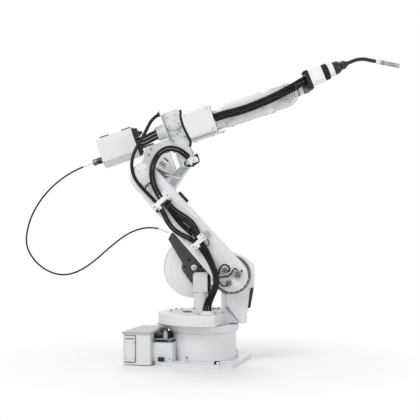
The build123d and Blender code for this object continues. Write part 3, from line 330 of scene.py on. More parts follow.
bm = bmesh.new()
for depth in (84, 114, 144):
    bar(bm, at(-205, 137, depth, "front"), 15, 78, sides=32)
    bar(bm, at(-196, 137, depth, "front"), 17, 12, sides=6)
for x in (-222, -262):
    bar(bm, at(x, 52, 60, "back") @ Matrix.Translation((0, 0, 328.9 + x)), 12, 6, sides=6)
piece("base_connectors", bm, floor_frame, black_nylon, "base", 0.5)

# Drum's foot: two bolted lugs cast on its far side and the earth stud on its near side. On the floor plate's
# corner stands a black stop with a white pin.
polystyrene = grained("white_polystyrene", "#f3f3f2", "#eeeeec", 0.38, 1.5, 0.01)
lug_feet = [Matrix.Rotation(radians(turn), 4, "Y") for turn in (118, -118)]
bm = bmesh.new()
for foot in lug_feet:
    block(bm, foot @ at(0, 20.3, 158, "over"), 46, 16, 26)
    slab(bm, foot @ at(0, 46, 150) @ Matrix.Rotation(-pi / 2, 4, "Y"), ((-8, 0), (16, 0), (-4, 34)), 8)
piece("drum_lugs", bm, floor_frame, sprayed_enamel, "base", 2)
bm = bmesh.new()
for foot in lug_feet:
    for x in (-15, 15):
        hex_bolt(bm, foot @ at(x, 46.2, 160, "over"), 6)
stud_side = Matrix.Rotation(radians(-14), 4, "Y")
bar(bm, stud_side @ at(0, 38, 155), 5, 12, sides=24)
hex_bolt(bm, stud_side @ at(0, 38, 164), 6)
fixings("drum_fixings", bm, floor_frame, "base")
plate_top = 20.2
bm = bmesh.new()
block(bm, at(124, plate_top, 212, "over"), 22, 14, 15)
block(bm, at(116, plate_top, 222, "over"), 7, 12, 10)
piece("corner_stop", bm, floor_frame, black_nylon, "base", 1)
bm = bmesh.new()
block(bm, at(130, plate_top, 222, "over"), 11, 10, 12)
piece("corner_stop_pin", bm, floor_frame, polystyrene, "base", 1)

# Turntable: a casting in the same enamel with a machined top, bolted pads, a lifting bolt and the slot with
# a black edge where the axis 1 cables drop through it.
casting("turntable", sprayed_enamel, "turntable", 3.5)
casting("shoulder_ear", sprayed_enamel, "turntable", 3.0)
turntable_top = 239
pads = ((64, 112, -20), (-120, -70, 0), (60, -120, 0))
bm = bmesh.new()
for x, depth, turn in pads:
    block(bm, at(x, turntable_top, depth, "over", turn), 44, 26, 5)
piece("turntable_pads", bm, column, sprayed_enamel, "turntable", 1.5)
bm = bmesh.new()
for (x, depth, turn), side in product(pads, (-13, 13)):
    hex_bolt(bm, at(x, turntable_top + 5, depth, "over", turn) @ Matrix.Translation((side, 0, 0)), 6)
for x, depth in ((-22, 150), (-14, 118), (2, 168)):
    cap_screw(bm, at(x, turntable_top, depth, "over"), 6)
hex_bolt(bm, at(-158, turntable_top, -20, "over"), 9)
fixings("turntable_bolts", bm, column, "turntable")
bm = bmesh.new()
block(bm, at(-78, 238.8, 16, "over"), 40, 58, 2.4)
piece("cable_slot", bm, column, black_nylon, "turntable", 1)

# Shoulder: the ear's diagonal rib, its edge seal, the step below it, and the gearbox ring with its
# black shaft seal and an arc of six screws.
turned_steel = grained("turned_steel", "#77797b", "#606264", 0.36, 0.6, 0.02, 1.0)


def around(middle, radius, count, start=0, step=None):
    """Places on a circle about a middle, from the start on in equal steps of degrees."""
    turns = [radians(start + i * (step or 360 / count)) for i in range(count)]
    return [(middle[0] + radius * cos(turn), middle[1] + radius * sin(turn)) for turn in turns]


def bead(bm, radius, depth, roll, sides):
    """A round bead about the member's z, whose own radius is the roll."""
    loop = bmesh.ops.create_circle(bm, segments=sides, radius=roll, matrix=at(radius, 0, depth, "over"))["verts"]
    bmesh.ops.spin(
        bm, geom=loop + list({e for v in loop for e in v.link_edges}), cent=(0, 0, 0), axis=(0, 0, 1),
        angle=2 * pi, steps=96, use_merge=True,
    )


dress(turned_steel, "shoulder_gearbox")
# The rib is a grey plate that paints the shade on the ear's bevelled lower edge.
bm = bmesh.new()
slab(bm, at(0, 0, 44), ((99, 262), (118, 268), (184, 206), (171, 192)), 11)
piece("ear_rib", bm, column, grey_sheet_and_shade, "turntable", 2.5)
bm = bmesh.new()
slab(bm, at(0, 0, 40), ((171, 196), (199, 196), (199, 216), (186, 216)), 18)
block(bm, at(186, 197, 58), 22, 18, 14)
piece("ear_step", bm, column, sprayed_enamel, "turntable", 2.5)
bm = bmesh.new()
slab(bm, at(0, 0, 57), ((221, 357), (234.5, 357), (222, 262), (209, 262)), 7)
slab(bm, at(0, 0, 20), ((233.5, 359), (239.5, 359), (221, 260), (215.5, 260)), 30)
piece("ear_edge_seal", bm, column, black_nylon, "turntable", 1.5)
bm = bmesh.new()
for x, rise in ((176, 232), (111, 258)):
    cap_screw(bm, at(x, rise, 54.5), 7)
for x, rise in ((224, 436), (196, 494)):
    bar(bm, at(x, rise, 59.9), 5, 1.5, sides=24)
for x in (66, 96):
    hex_bolt(bm, at(x, turntable_top + 0.5, 78, "over"), 7)
fixings("ear_screws", bm, column, "turntable")
bm = bmesh.new()
for x, y in around((0, 0), 82.5, 6, -98, 16.5):
    cap_screw(bm, at(x, y, 64.7), 7)
fixings("gearbox_screws", bm, shoulder, "turntable")
bm = bmesh.new()
bead(bm, 91, 60.5, 1.8, 12)
piece("shoulder_seal", bm, shoulder, black_nylon, "turntable")

# Axis 1 motor: a turned flange and barrel with a cast square head, its encoder cap, and black plugs and
# cables down its front. The shoulder motor behind the ear is black with cooling fins.
motor_black = grained("black_motor_lacquer", "#26272a", "#1d1e20", 0.4, 0.8, 0.04)
black_oxide = grained("black_oxide_screws", "#26282a", "#1b1d1f", 0.42, 0.5, 0.01, 0.8)
casting("axis1_motor", sprayed_enamel, "turntable", 3.0)
motor_x = -16
bm = bmesh.new()
block(bm, at(motor_x, turntable_top + 0.5, 0, "over"), 82, 82, 12)
bar(bm, at(motor_x, 332, 0, "over"), 34, 4, sides=64)
block(bm, at(motor_x, 419.8, 0, "over"), 56, 56, 5)
for rise in (352, 366, 380, 394):
    block(bm, at(motor_x, rise, -33), 44, 3, -2.5)
    block(bm, at(-49.4, rise, 0, "back"), 3, 44, 2.5)
piece("axis1_motor_trim", bm, column, sprayed_enamel, "turntable", 1.5)
bm = bmesh.new()
for rise, side, size in ((251.5, 30, 8), (424.8, 22, 4)):
    for x, depth in product((motor_x - side, motor_x + side), (-side, side)):
        cap_screw(bm, at(x, rise, depth, "over"), size)
fixings("axis1_motor_screws", bm, column, "turntable")
bm = bmesh.new()
block(bm, at(17.6, 366, 10, "front"), 40, 34, 9)
block(bm, at(17.6, 376, -14, "front"), 22, 22, 30)
for x, rise, depth, radius, length, plug in ((27, 420, 10, 7, 122, 30), (45, 404, -14, 7.5, 70, 22)):
    bar(bm, at(x, rise, depth, "under"), radius, length, sides=32)
    bar(bm, at(x, rise, depth, "under"), 9.5, plug, sides=32)
piece("axis1_motor_plugs", bm, column, black_nylon, "turntable", 1.5)
casting("shoulder_motor", motor_black, "turntable", 1.5)
bm = bmesh.new()
for i in range(9):
    bar(bm, at(0, 0, -22 - i * 6.4, "far"), 50.5, 2.2, sides=64)
bar(bm, at(0, 0, -87, "far"), 34, 7, sides=48)
block(bm, at(0, 46, -58, "over"), 34, 30, 16)
bar(bm, at(-12, 54, -58, "back"), 8, 22, sides=32)
piece("shoulder_motor_fins", bm, shoulder, motor_black, "turntable", 0.5)
bm = bmesh.new()
for x, rise in product((-46, 46), (-46, 46)):
    cap_screw(bm, at(x, rise, -7.5, "far"), 8)
piece("shoulder_motor_screws", bm, shoulder, black_oxide, "turntable")

# Wire spool: a white moulded cover with a rolled rim and a hub with its retaining nut, on a bracket of
# folded plate in black crinkle coat, whose texture is a fine net about 1 mm across.
crinkle_coat = grained("black_crinkle_coat", "#4b4b4d", "#3b3b3d", 0.66, 1.3, 0.25)
casting("spool_bracket", crinkle_coat, "turntable", 1.5)
casting("spool_cover", polystyrene, "turntable", 2.0)
casting("spool_hub", polystyrene, "turntable", 1.5)
spool = column @ Matrix.Translation((-48, 443, 0))
bracket_face = -103.9
cover_faces = (-117.8, -210.2)
bm = bmesh.new()
for radius, depth in product((147, 118, 64), cover_faces):
    bead(bm, radius, depth, 1.9, 10)
bar(bm, at(0, 0, -210, "far"), 26, 5, 20, sides=48)
for i in range(6):
    spoke = Matrix.Rotation(radians(i * 60), 4, "Z")
    block(bm, spoke @ at(91, 0, -209.5, "far"), 52, 5, 3)
piece("spool_rims", bm, spool, polystyrene, "turntable")
bm = bmesh.new()
for x, rise in ((-26, 38), (10, 38), (-44, 4), (30, 6), (24, -20), (44, -22)):
    cap_screw(bm, at(x, rise, bracket_face), 6)
for rise, x in product((-58, -120), (16, 46)):
    cap_screw(bm, at(x, rise, bracket_face), 5)
for x in (14, 46):
    hex_bolt(bm, at(x, -195.6, -81, "over"), 6)
piece("spool_bracket_screws", bm, spool, black_oxide, "turntable")
bm = bmesh.new()
bar(bm, at(0, 0, -89.9), 8, 5, sides=6)
bar(bm, at(0, 0, -89.9), 4, 8, sides=24)
piece("spool_nut", bm, spool, zinc_screws, "turntable", 0.6)

# Hoses: smooth black rubber jackets about 2 mm thick, slightly glossy and faintly dusty, held by the
# clamps and free to bend between them. Hoses of one set lie a pitch apart, and a thin lead ties those at the
# elbow together.
rubber = grained("black_rubber_jacket", "#08080a", "#0d0d0f", 0.34, 1.6, 0.04)
rubber.node_tree.nodes["Principled BSDF"].inputs["Specular IOR Level"].default_value = 0.22
hose_pitch = 14.5
arm_hose_pitch = 12
feeder_pitch = 16
torch_pitch = 20.5


def beside(points, shift):
    """A route moved sideways, so that like hoses lie side by side."""
    moved = []
    for i, point in enumerate(points):
        run = Vector(points[min(i + 1, len(points) - 1)][:2]) - Vector(points[max(i - 1, 0)][:2])
        run = run.normalized() * shift
        moved.append((point[0] - run.y, point[1] + run.x, point[2]))
    return moved


def smooth_line(name, place, route, thickness=0.0):
    """A mesh of the smooth line that a route's points control, or of a tube along it."""
    line = bpy.data.curves.new(name, "CURVE")
    line.dimensions = "3D"
    line.resolution_u = 10
    line.bevel_depth = thickness / 2000
    line.bevel_resolution = 5
    line.use_fill_caps = True
    spline = line.splines.new("NURBS")
    spline.points.add(len(route) - 1)
    for held, point in zip(spline.points, route):
        held.co = (*(place @ Vector(point)), 1)
    spline.order_u = 3
    spline.use_endpoint_u = True
    return bpy.data.meshes.new_from_object(bpy.data.objects.new(name, line))


def hoses(name, place, routes, thickness, material, body, node, ends=None):
    """Hoses in one piece that ride on a body, or, across a joint between two bodies, stand free with their place
    baked in.
    """
    bm = bmesh.new()
    for route in routes:
        bm.from_mesh(smooth_line(name, place, route, thickness))
    bmesh.ops.remove_doubles(bm, verts=bm.verts, dist=1e-6)
    made = piece(name, bm, Matrix(), material, None if ends else body)
    if ends:
        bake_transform(made)
    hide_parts(node)
    return made


def edge_on(points, shift, turns):
    """Like beside, but the set of hoses is turned edge-on by so many degrees at each point."""
    return [
        (x + (a - x) * cos(radians(turn)), y + (b - y) * cos(radians(turn)), depth + shift * sin(radians(turn)))
        for (x, y, depth), (a, b, _), turn in zip(points, beside(points, shift), turns)
    ]


shoulder_route = (
    (-156.2, 157.3, 154.1), (-133, 130, 157), (-112, 93, 160.9), (-91, 49, 166.5), (-73.8, 1, 169.1),
    (-73.3, -47, 169.1), (-94.4, -91, 161.5), (-113.2, -127.7, 153.2), (-116, -155.7, 152),
)
shoulder_turns = (0, 15, 40, 55, 60, 60, 50, 30, 0)
hoses(
    "shoulder_hose_set", shoulder, [edge_on(shoulder_route, i * hose_pitch, shoulder_turns) for i in (-1, 0, 1)],
    13, rubber, ("lower_arm", "turntable"), "shoulder_hoses", (shoulder_route[0], (-115.5, -145, 152)),
)
left_route = (
    (477, 36, 153.1), (452, 38, 155), (420, 46, 157), (385, 56, 157), (347, 60, 155), (310, 51, 153.1),
    (278, 38, 153.1), (250, 27, 153.1), (225, 22, 153.1),
)
right_route = (
    (477, 4, 153.1), (452, 3, 156), (420, 2, 160), (385, -4, 161), (350, -16, 159), (312, -22, 156),
    (278, -17, 154), (250, -6, 153.1), (225, -1, 153.1),
)
inner_route = ((431, 9.4, 140.8), (377, 15.8, 140.8), (325, 15.8, 140.8), (266, 6.6, 140.8))
arm_set = [
    beside(route, i * arm_hose_pitch)
    for route, places in ((left_route, (0.5, -0.5)), (right_route, (1, 0, -1)), (inner_route, (0.5, -0.5)))
    for i in places
]
hoses("arm_hose_set", lower, arm_set, 11, rubber, "lower_arm", "arm_hoses")
rear_route = (
    (162.5, 258, 72), (128, 250, 76), (96, 222, 86), (62, 186, 98), (26, 155, 110), (-8, 122, 120),
    (-32, 84, 130), (-43, 42, 140), (-40, -2, 150), (-22, -50, 157), (1, -96, 157), (20.4, -140, 155.6),
)
front_route = (
    (228, 18, 74), (212, 50, 78), (184, 78, 88), (150, 92, 102), (112, 86, 122), (78, 62, 138), (52, 28, 149),
    (38, -10, 156), (33, -53, 159), (37, -92, 157), (46, -130.8, 154.1),
)
hoses(
    "elbow_hose_rear", upper, [rear_route], 16, rubber, ("elbow", "lower_arm"), "elbow_hoses",
    (rear_route[0], (10, -118, 156)),
)
front_ends = ((220, 34, 76), (40, -112, 156))
hoses(
    "elbow_hose_pair", upper, [beside(front_route, hose_pitch * i) for i in (0.5, -0.5)], 13, rubber,
    ("elbow", "lower_arm"), "elbow_hoses", front_ends,
)
link_route = ((-15, -68, 157), (-9, -52, 160), (4, -40, 162), (17, -37, 161), (29, -44, 158))
hoses("elbow_hose_link", upper, [link_route], 6.5, rubber, ("elbow", "lower_arm"), "elbow_hoses", front_ends)
feeder_route = ((24.6, 168, 0), (61, 167, 1), (100, 174, 6), (138, 177, 11), (164.4, 177, 12))
feeder_set = [[(x, y + i * feeder_pitch, depth) for x, y, depth in feeder_route] for i in (-1, 0, 1)]
hoses("feeder_lead_set", upper, feeder_set, 15, rubber, "elbow", "feeder_leads")
lead_parts = (
    ("torch_leads_rear", ((398.6, 157, 87), (450, 157, 87), (510, 150, 87), (575, 148, 87), (640, 152, 87)),
     ("elbow", "forearm"), ((420, 157, 87), (640, 152, 87))),
    ("torch_leads_middle", ((640.8, 152, 87), (690, 155, 87), (745, 163.5, 84), (795, 172, 78)),
     ("forearm", "wrist"), ((700, 155, 87), (795, 172, 78))),
    ("torch_leads_front", ((797, 172.4, 77.7), (824, 177.6, 73), (850, 184.6, 60), (871.3, 186.6, 57)),
     ("wrist", "torch"), ((797, 172.4, 77.7), (866, 186.6, 57))),
)
for node, route, bodies, ends in lead_parts:
    pair = [beside(route, torch_pitch * i) for i in (0.5, -0.5)]
    hoses(node + "_pair", upper, pair, 20.4, rubber, bodies, node, ends)

# Wire conduit: one stiff 8 mm liner that hangs in a free loop from the feeder's inlet to the spool. It is in
# two lengths, each spanning one joint, and has a white coupling at the spool.
conduit_routes = (
    ("conduit_upper", ("elbow", "lower_arm"), (
        (-532.9, 949.5, -18.5), (-576, 934.5, -18.5), (-660, 893, -20), (-747, 822, -24), (-812, 735, -32),
        (-849, 649, -42), (-856, 600, -48),
    )),
    ("conduit_lower", ("lower_arm", "turntable"), (
        (-856.1, 599.2, -48.1), (-862, 551, -54), (-820, 474, -66), (-756, 424, -78), (-684, 404, -88),
        (-611, 422, -96), (-536, 472, -102), (-461, 540, -106), (-375, 608, -108), (-300, 636, -108),
        (-237, 637, -108), (-199, 625, -108), (-168, 612, -108),
    )),
)
for node, bodies, route in conduit_routes:
    made = hoses(node + "_liner", column, [route], 8, rubber, bodies, node, (route[0], route[-1]))
    path = [v.co.copy() for v in smooth_line(node + "_middle", column, route).vertices]
bm = bmesh.new()
bm.from_mesh(smooth_line("reel_coupling", column, ((-167, 611.6, -108), (-199, 625, -108), (-222, 632.6, -108)), 10))
piece("reel_coupling", bm, Matrix(), polystyrene, "turntable")

# Lower arm: one tapered casting with a machined boss at each end. On its hub are three round connectors of
# the motor leads, each with a grey plate, four screws and a ring of plugs, and a black lead looped to it.
casting("lower_arm", sprayed_enamel, "lower_arm", 2.5)
dress(turned_steel, "elbow_gearbox")
connectors = ((-34, 23.8, 18.4), (-16.3, -32.6, 19), (25.8, 6.8, 21.8))
casting("hub_connectors", zinc_screws, "lower_arm", 1.5)
hub_face = 158.2
bm = bmesh.new()
for x, y, radius in connectors:
    for screw in around((x, y), radius - 3.2, 4, 45):
        cap_screw(bm, at(*screw, hub_face), 2.6)
fixings("hub_screws", bm, shoulder, "lower_arm")
bm = bmesh.new()
for x, y, radius in connectors:
    bar(bm, at(x, y, hub_face), radius * 0.86, 0.8, sides=40)
piece("hub_plates", bm, shoulder, grey_sheet_and_shade, "lower_arm")
bm = bmesh.new()
for x, y, radius in connectors:
    for plug in around((x, y), radius * 0.52, 6, 12):
        bar(bm, at(*plug, hub_face + 0.6), radius * 0.2, 3, sides=6)
    bar(bm, at(x, y, hub_face + 0.6), radius * 0.24, 4, sides=6)
bar(bm, at(46, 23, 143), 5.5, 8, sides=24)
piece("hub_plugs", bm, shoulder, motor_black, "lower_arm", 0.4)
hub_routes = (
    ((-62, 8, 150), (-60, 30, 160), (-46, 52, 168), (-26, 54, 172), (-12, 42, 172), (-10, 26, 166), (-20, 20, 162)),
    ((-66, -8, 146), (-50, -6, 148), (-34, -4, 148), (-14, -2, 150), (-2, 12, 158), (6, 32, 166), (18, 38, 166),
     (24, 26, 162)),
    ((-64, -24, 146), (-54, -38, 150), (-40, -48, 160), (-26, -46, 164), (-18, -38, 162)),
)
bm = bmesh.new()
for route, thickness in zip(hub_routes, (8.5, 6.5, 6.5)):
    bm.from_mesh(smooth_line("hub_lead", shoulder, route, thickness))
piece("hub_lead_pair", bm, Matrix(), rubber, "lower_arm")

# Elbow end of the lower arm: a pressed cap in the bore and the gearbox's screws in the bevel round it. Low
# ribs and pads stand on both faces of the arm.
bm = bmesh.new()
bar(bm, at(lower_arm_length, 0, 143), 41, 3, 38, sides=72)
bar(bm, at(lower_arm_length, 0, 146), 9, 2.4, sides=6)
piece("elbow_cap_disc", bm, lower, sheet_enamel, "lower_arm", 1)
bm = bmesh.new()
for x, y in around((lower_arm_length, 0), 54, 10, 18):
    cap_screw(bm, at(x, y, 125.4), 8)
for x, y in around((lower_arm_length, 0), 35, 6):
    cap_screw(bm, at(x, y, 145.8), 4)
fixings("elbow_cap_screws", bm, lower, "lower_arm")
bm = bmesh.new()
slab(bm, at(0, 0, 134.5), ((300, -52), (420, -43), (420, -40.4), (300, -49.4)), 2)
block(bm, at(560, -4, 134.6), 34, 62, 1.6)
for x in (120, 180, 300, 360, 420):
    block(bm, at(x, 2, 65.2, "far"), 44, 88 - x * 0.05, 3)
piece("lower_arm_ribs", bm, lower, sprayed_enamel, "lower_arm", 0.8)

# Hose clamps: bars, posts and straps moulded in off-white nylon, each with screws through its strap. Beside
# them are the grey bracket, the black ties and the rubber bumper.
nylon = grained("moulded_nylon", "#f0f0ee", "#e8e8e5", 0.45, 1.4, 0.03)
soft_rubber = grained("moulded_rubber", "#151517", "#1b1b1d", 0.7, 1.0, 0.05)
for node in ("upper_clamp", "lower_clamp"):
    casting(node, nylon, "lower_arm", 2.0)
casting("clamp_bracket", grey_sheet_and_shade, "lower_arm", 1.5)
casting("arm_bumper", soft_rubber, "lower_arm", 3.0)
strap_face = 173.2
arm_face = 136
straps = ((480, (-26, 54)), (222, (-24, 42)))
bm = bmesh.new()
for x, ends in straps:
    for y in ends:
        block(bm, at(x, y, strap_face), 26, 15, 3)
    block(bm, at(x, sum(ends) / 2, 135.5), 26, 30, 9)
block(bm, at(484, -4, arm_face), 44, 36, 22)
block(bm, at(499, -22, arm_face), 20, 22, 14)
block(bm, at(470, 40, strap_face), 34, 20, 4)
block(bm, at(236, -14, strap_face), 22, 30, 4)
block(bm, at(214, 28, strap_face), 24, 24, 4)
piece("clamp_saddles", bm, lower, nylon, "lower_arm", 1.5)
bm = bmesh.new()
for x, ends in straps:
    for y in ends:
        hex_bolt(bm, at(x, y, strap_face + 3), 5)
for x, y, depth in ((462, 44, 177.2), (500, -6, 158), (478, -12, 158), (240, -20, 177.2), (212, 32, 177.2)):
    cap_screw(bm, at(x, y, depth), 5)
fixings("clamp_screws", bm, lower, "lower_arm")
bm = bmesh.new()
bar(bm, at(456, 52, 140, "over"), 7, 14, 5.5, sides=24)
block(bm, at(457, -2, arm_face), 12, 14, 12)
bar(bm, at(452, -18, arm_face), 5, 10, 4, sides=24)
piece("clamp_ties", bm, lower, black_nylon, "lower_arm", 1)
tie_route = ((238, -18, 146), (226, -29, 156), (205, -31, 158), (187, -26, 156), (179, -12, 150), (184, 2, 146))
bm = bmesh.new()
bm.from_mesh(smooth_line("wire_tie", lower, tie_route, 4.5))
piece("clamp_wire_tie", bm, Matrix(), black_nylon, "lower_arm")

# Elbow casting: a rounded lobe on the axis and a deep web with the window that the motor looks through. The
# motor's end bell, its lead and the web's panel face the side, and the lobe's cover is on the far side.
casting("elbow_casting", sprayed_enamel, "elbow", 4.0)
casting("elbow_motor", sheet_enamel, "elbow", 3.0)
web_face = 20.2
# The web's panel is grey as painted shade on the web's downward face.
bm = bmesh.new()
slab(bm, at(0, 0, 19.8), ((166, -8), (207, -24), (118, -90), (102, -62)), 1.5)
piece("web_panel", bm, upper, grey_sheet_and_shade, "elbow", 0.5)
bm = bmesh.new()
slab(bm, at(0, 0, 12), ((92, 80), (155, 75), (149, -30), (126, -34), (62, 25)), 3)
piece("motor_cover", bm, upper, polystyrene, "elbow", 1)
bm = bmesh.new()
bar(bm, at(0, 0, -55.2, "far"), 48, 6, 44, sides=72)
bar(bm, at(0, 0, -61, "far"), 20, 3, sides=48)
bar(bm, at(216, 78, web_face), 8, 2.5, sides=32)
block(bm, at(126, -40, web_face, turn=-34), 74, 9, 4)
block(bm, at(58, 66, web_face, turn=52), 60, 9, 4)
piece("elbow_covers", bm, upper, sprayed_enamel, "elbow", 1.5)
bm = bmesh.new()
for x, y in around((0, 0), 40, 8, 20):
    cap_screw(bm, at(x, y, -60.8, "far"), 6)
for x, y in ((52, 96), (70, 118), (196, -6), (168, -34), (98, -70), (244, 122)):
    cap_screw(bm, at(x, y, web_face), 7)
for x, y in product((62, 170), (-30, 74)):
    hex_bolt(bm, at(x, y, -65.4, "far"), 6)
fixings("elbow_screws", bm, upper, "elbow")
motor_end = upper @ Matrix.Translation((103, 25, 0)) @ Matrix.Rotation(radians(34), 4, "Z")
bm = bmesh.new()
block(bm, at(0, 0, 49.9), 42, 54, 3.5)
block(bm, at(4, 6, 53), 22, 36, 5)
block(bm, at(-17, 2, 53), 9, 44, 3)
bar(bm, at(9, -17, 53), 7.5, 5, sides=32)
for (x, face), depth in product(((-31, "back"), (31, "front")), (-70, -84, -98, -112)):
    block(bm, at(x, 0, depth, face), 3, 48, 2)
bar(bm, at(0, 0, -130, "far"), 22, 5, sides=48)
piece("elbow_motor_bell", bm, motor_end, sheet_enamel, "elbow", 1.2)
bm = bmesh.new()
for x, width in ((-1, 6.5), (8.5, 4)):
    block(bm, at(x, 6, 57.6), width, 33, 0.8)
block(bm, at(-11.5, 2, 52.8), 3, 42, 1.2)
block(bm, at(25.2, 8, 20, "front"), 20, 26, 6)
block(bm, at(0, 31.2, -100, "over"), 26, 22, 10)
bar(bm, at(4, 36, -100, "front"), 6.5, 24, sides=24)
piece("elbow_motor_slots", bm, motor_end, black_nylon, "elbow", 0.3)

# Hose duct and ports: a drawn cover held by screws, a bracket with the hose sockets, and below them the
# plugs of the signal leads with their short loops.
casting("hose_duct", sheet_enamel, "elbow", 2.0)
casting("hose_ports", nylon, "elbow", 1.5)
bm = bmesh.new()
block(bm, at(215, 128.5, 59.6), 70, 10, 3)
block(bm, at(258, 30, 38, "front"), 34, 26, 2.5)
block(bm, at(246, 10, 60.2), 18, 34, 26)
slab(bm, at(0, 0, 60.2), ((182, -4), (252, -4), (252, -20), (226, -24), (198, -20)), 3)
piece("duct_bracket", bm, upper, sheet_enamel, "elbow", 1.2)
bm = bmesh.new()
for x, y in ((186, 120), (244, 120), (186, 8), (200, 62)):
    cap_screw(bm, at(x, y, 60), 4)
for y in (0, 20):
    hex_bolt(bm, at(247, y, 86.4), 5)
bar(bm, at(236, -12, 63.2), 6, 12, sides=6)
bar(bm, at(212, -16, 63.2), 6, 12, sides=6)
fixings("duct_fixings", bm, upper, "elbow")
bm = bmesh.new()
for x, y in ((236, -12), (212, -16), (222, -14)):
    bar(bm, at(x, y, 66), 5, 18, sides=24)
bar(bm, at(262, 18, 30, "front"), 9, 12, 7, sides=32)
piece("signal_plugs", bm, upper, black_nylon, "elbow", 0.5)
bm = bmesh.new()
for route in (
    ((236, -12, 82), (237, -14, 91), (252, -22, 92), (268, -16, 92), (272, 0, 90), (264, 16, 86), (252, 22, 80)),
    ((212, -16, 82), (212, -19, 91), (228, -24, 92), (244, -24, 90), (254, -16, 86), (256, 0, 80)),
    ((222, -14, 82), (220, -17, 90), (208, -18, 90), (200, -12, 84), (200, -2, 74), (206, 8, 64)),
):
    bm.from_mesh(smooth_line("signal_lead", upper, route, 6.5))
piece("signal_leads", bm, Matrix(), rubber, "elbow")

# Bulkhead and hood: bent sheet steel round the place where the leads meet, with the black sleeve fittings
# behind it, the round inspection cover on its side, and a black lead down the housing's back edge.
for node in ("bulkhead_plate", "rear_sleeve", "cable_hood"):
    casting(node, sheet_enamel, "elbow", 1.5)
cover_middle = (213, 210)
bm = bmesh.new()
bar(bm, at(*cover_middle, 60.8), 36, 2.5, sides=72)
bar(bm, at(*cover_middle, 63.2), 7, 2, sides=6)
block(bm, at(196, 158, 48), 46, 32, 3)
block(bm, at(214, 255.2, 0, "over"), 70, 76, 3)
piece("hood_covers", bm, upper, sheet_enamel, "elbow", 1)
bm = bmesh.new()
for x, y in around(cover_middle, 30, 4, 45):
    cap_screw(bm, at(x, y, 63), 4)
for x, y in ((180, 148), (212, 148), (180, 168)):
    cap_screw(bm, at(x, y, 51), 4)
hex_bolt(bm, at(230, 156, 48.2), 8)
for depth, x in product((-26, 26), (188, 242)):
    cap_screw(bm, at(x, 258, depth, "over"), 4)
for y in (150, 268):
    cap_screw(bm, at(164.8, y, 78, "back"), 5)
fixings("hood_screws", bm, upper, "elbow")
bm = bmesh.new()
bar(bm, at(164.6, 258, 72, "back"), 12.5, 10, 11, sides=6)
bar(bm, at(121, 177, 12, "back"), 30, 4, 28, sides=48)
for i in (-1, 0, 1):
    bar(bm, at(24.5, 168 + i * feeder_pitch, 0, "front"), 7.9, 12, sides=6)
    bar(bm, at(142, 177 + i * feeder_pitch, 11, "back"), 7.9, 24, 7.8, sides=32)
piece("lead_glands", bm, upper, black_nylon, "elbow", 0.6)
neck_route = (
    (262, 231, 96), (256, 222, 102), (252, 200, 104), (251, 174, 104), (252.5, 150, 104), (256, 124, 105),
    (260, 104, 104), (262, 90, 98), (259, 78, 84), (251, 69, 64),
)
bm = bmesh.new()
bm.from_mesh(smooth_line("neck_lead", upper, neck_route, 11.5))
bar(bm, upper @ at(262, 232, 94, "over"), 6.5, 12, 5, sides=24)
piece("neck_lead_run", bm, Matrix(), rubber, "elbow")

# Gland on the turntable: a cast ring on a screwed flange, with a soft rubber boot round each hose.
casting("hose_gland", sprayed_enamel, "turntable", 1.2)
bm = bmesh.new()
for i in (-1, 0, 1):
    bar(bm, at(16 + i * hose_pitch, 255.5, 152, "over"), 7.2, 13, 6.9, sides=32)
piece("hose_boots", bm, column, soft_rubber, "turntable", 0.6)
bm = bmesh.new()
for x, depth in product((-10.5, 42.5), (129, 175)):
    cap_screw(bm, at(x, 249, depth, "over"), 4)
fixings("gland_screws", bm, column, "turntable")

# Housing of axis 4: a deep square casting with a bolted flange at the front and a machined rail below it,
# which carries the bearing of the forearm.


def turned(bm, pose, profile, sides=64):
    """A shape turned about the pose's z, from its section's outline in points of radius and height."""
    chain = [bm.verts.new(pose @ Vector((radius, 0, height))) for radius, height in (*profile, profile[0])]
    edges = [bm.edges.new(pair) for pair in zip(chain, chain[1:])]
    bmesh.ops.spin(
        bm, geom=chain + edges, cent=pose.translation, axis=pose.to_3x3() @ Vector((0, 0, 1)), angle=2 * pi,
        steps=sides, use_merge=True,
    )
    bmesh.ops.remove_doubles(bm, verts=bm.verts, dist=1e-4)


casting("arm_housing", sprayed_enamel, "elbow", 4.0)
casting("housing_rail", sprayed_enamel, "elbow", 1.5)
housing_front = 398.2
bm = bmesh.new()
turned(bm, at(housing_front, wrist_rise, 0, "front"), ((52, 0), (56, 0), (56, 2.2), (52, 2.2)))
block(bm, at(330, 224.2, 20, "over"), 96, 110, 2.5)
piece("housing_trim", bm, upper, sprayed_enamel, "elbow", 0.8)
bm = bmesh.new()
for y, depth in (*product((108, 136, 186, 214), (96, -50)), (216, -22), (216, 20), (216, 62)):
    cap_screw(bm, at(housing_front - 0.1, y, depth, "front"), 8)
for y, depth in around((wrist_rise, 0), 53.5, 10, 10):
    cap_screw(bm, at(400.2, y, depth, "front"), 4)
for x, y in ((380, 211), (272, 211), (380, 112)):
    cap_screw(bm, at(x, y, 104.8), 4)
for x, depth in product((292, 368), (-26, 66)):
    cap_screw(bm, at(x, 226.6, depth, "over"), 4)
for x, depth in product((286, 374, 424), (-24, 24)):
    cap_screw(bm, at(x, 82.7, depth, "under"), 5)
fixings("housing_screws", bm, upper, "elbow")

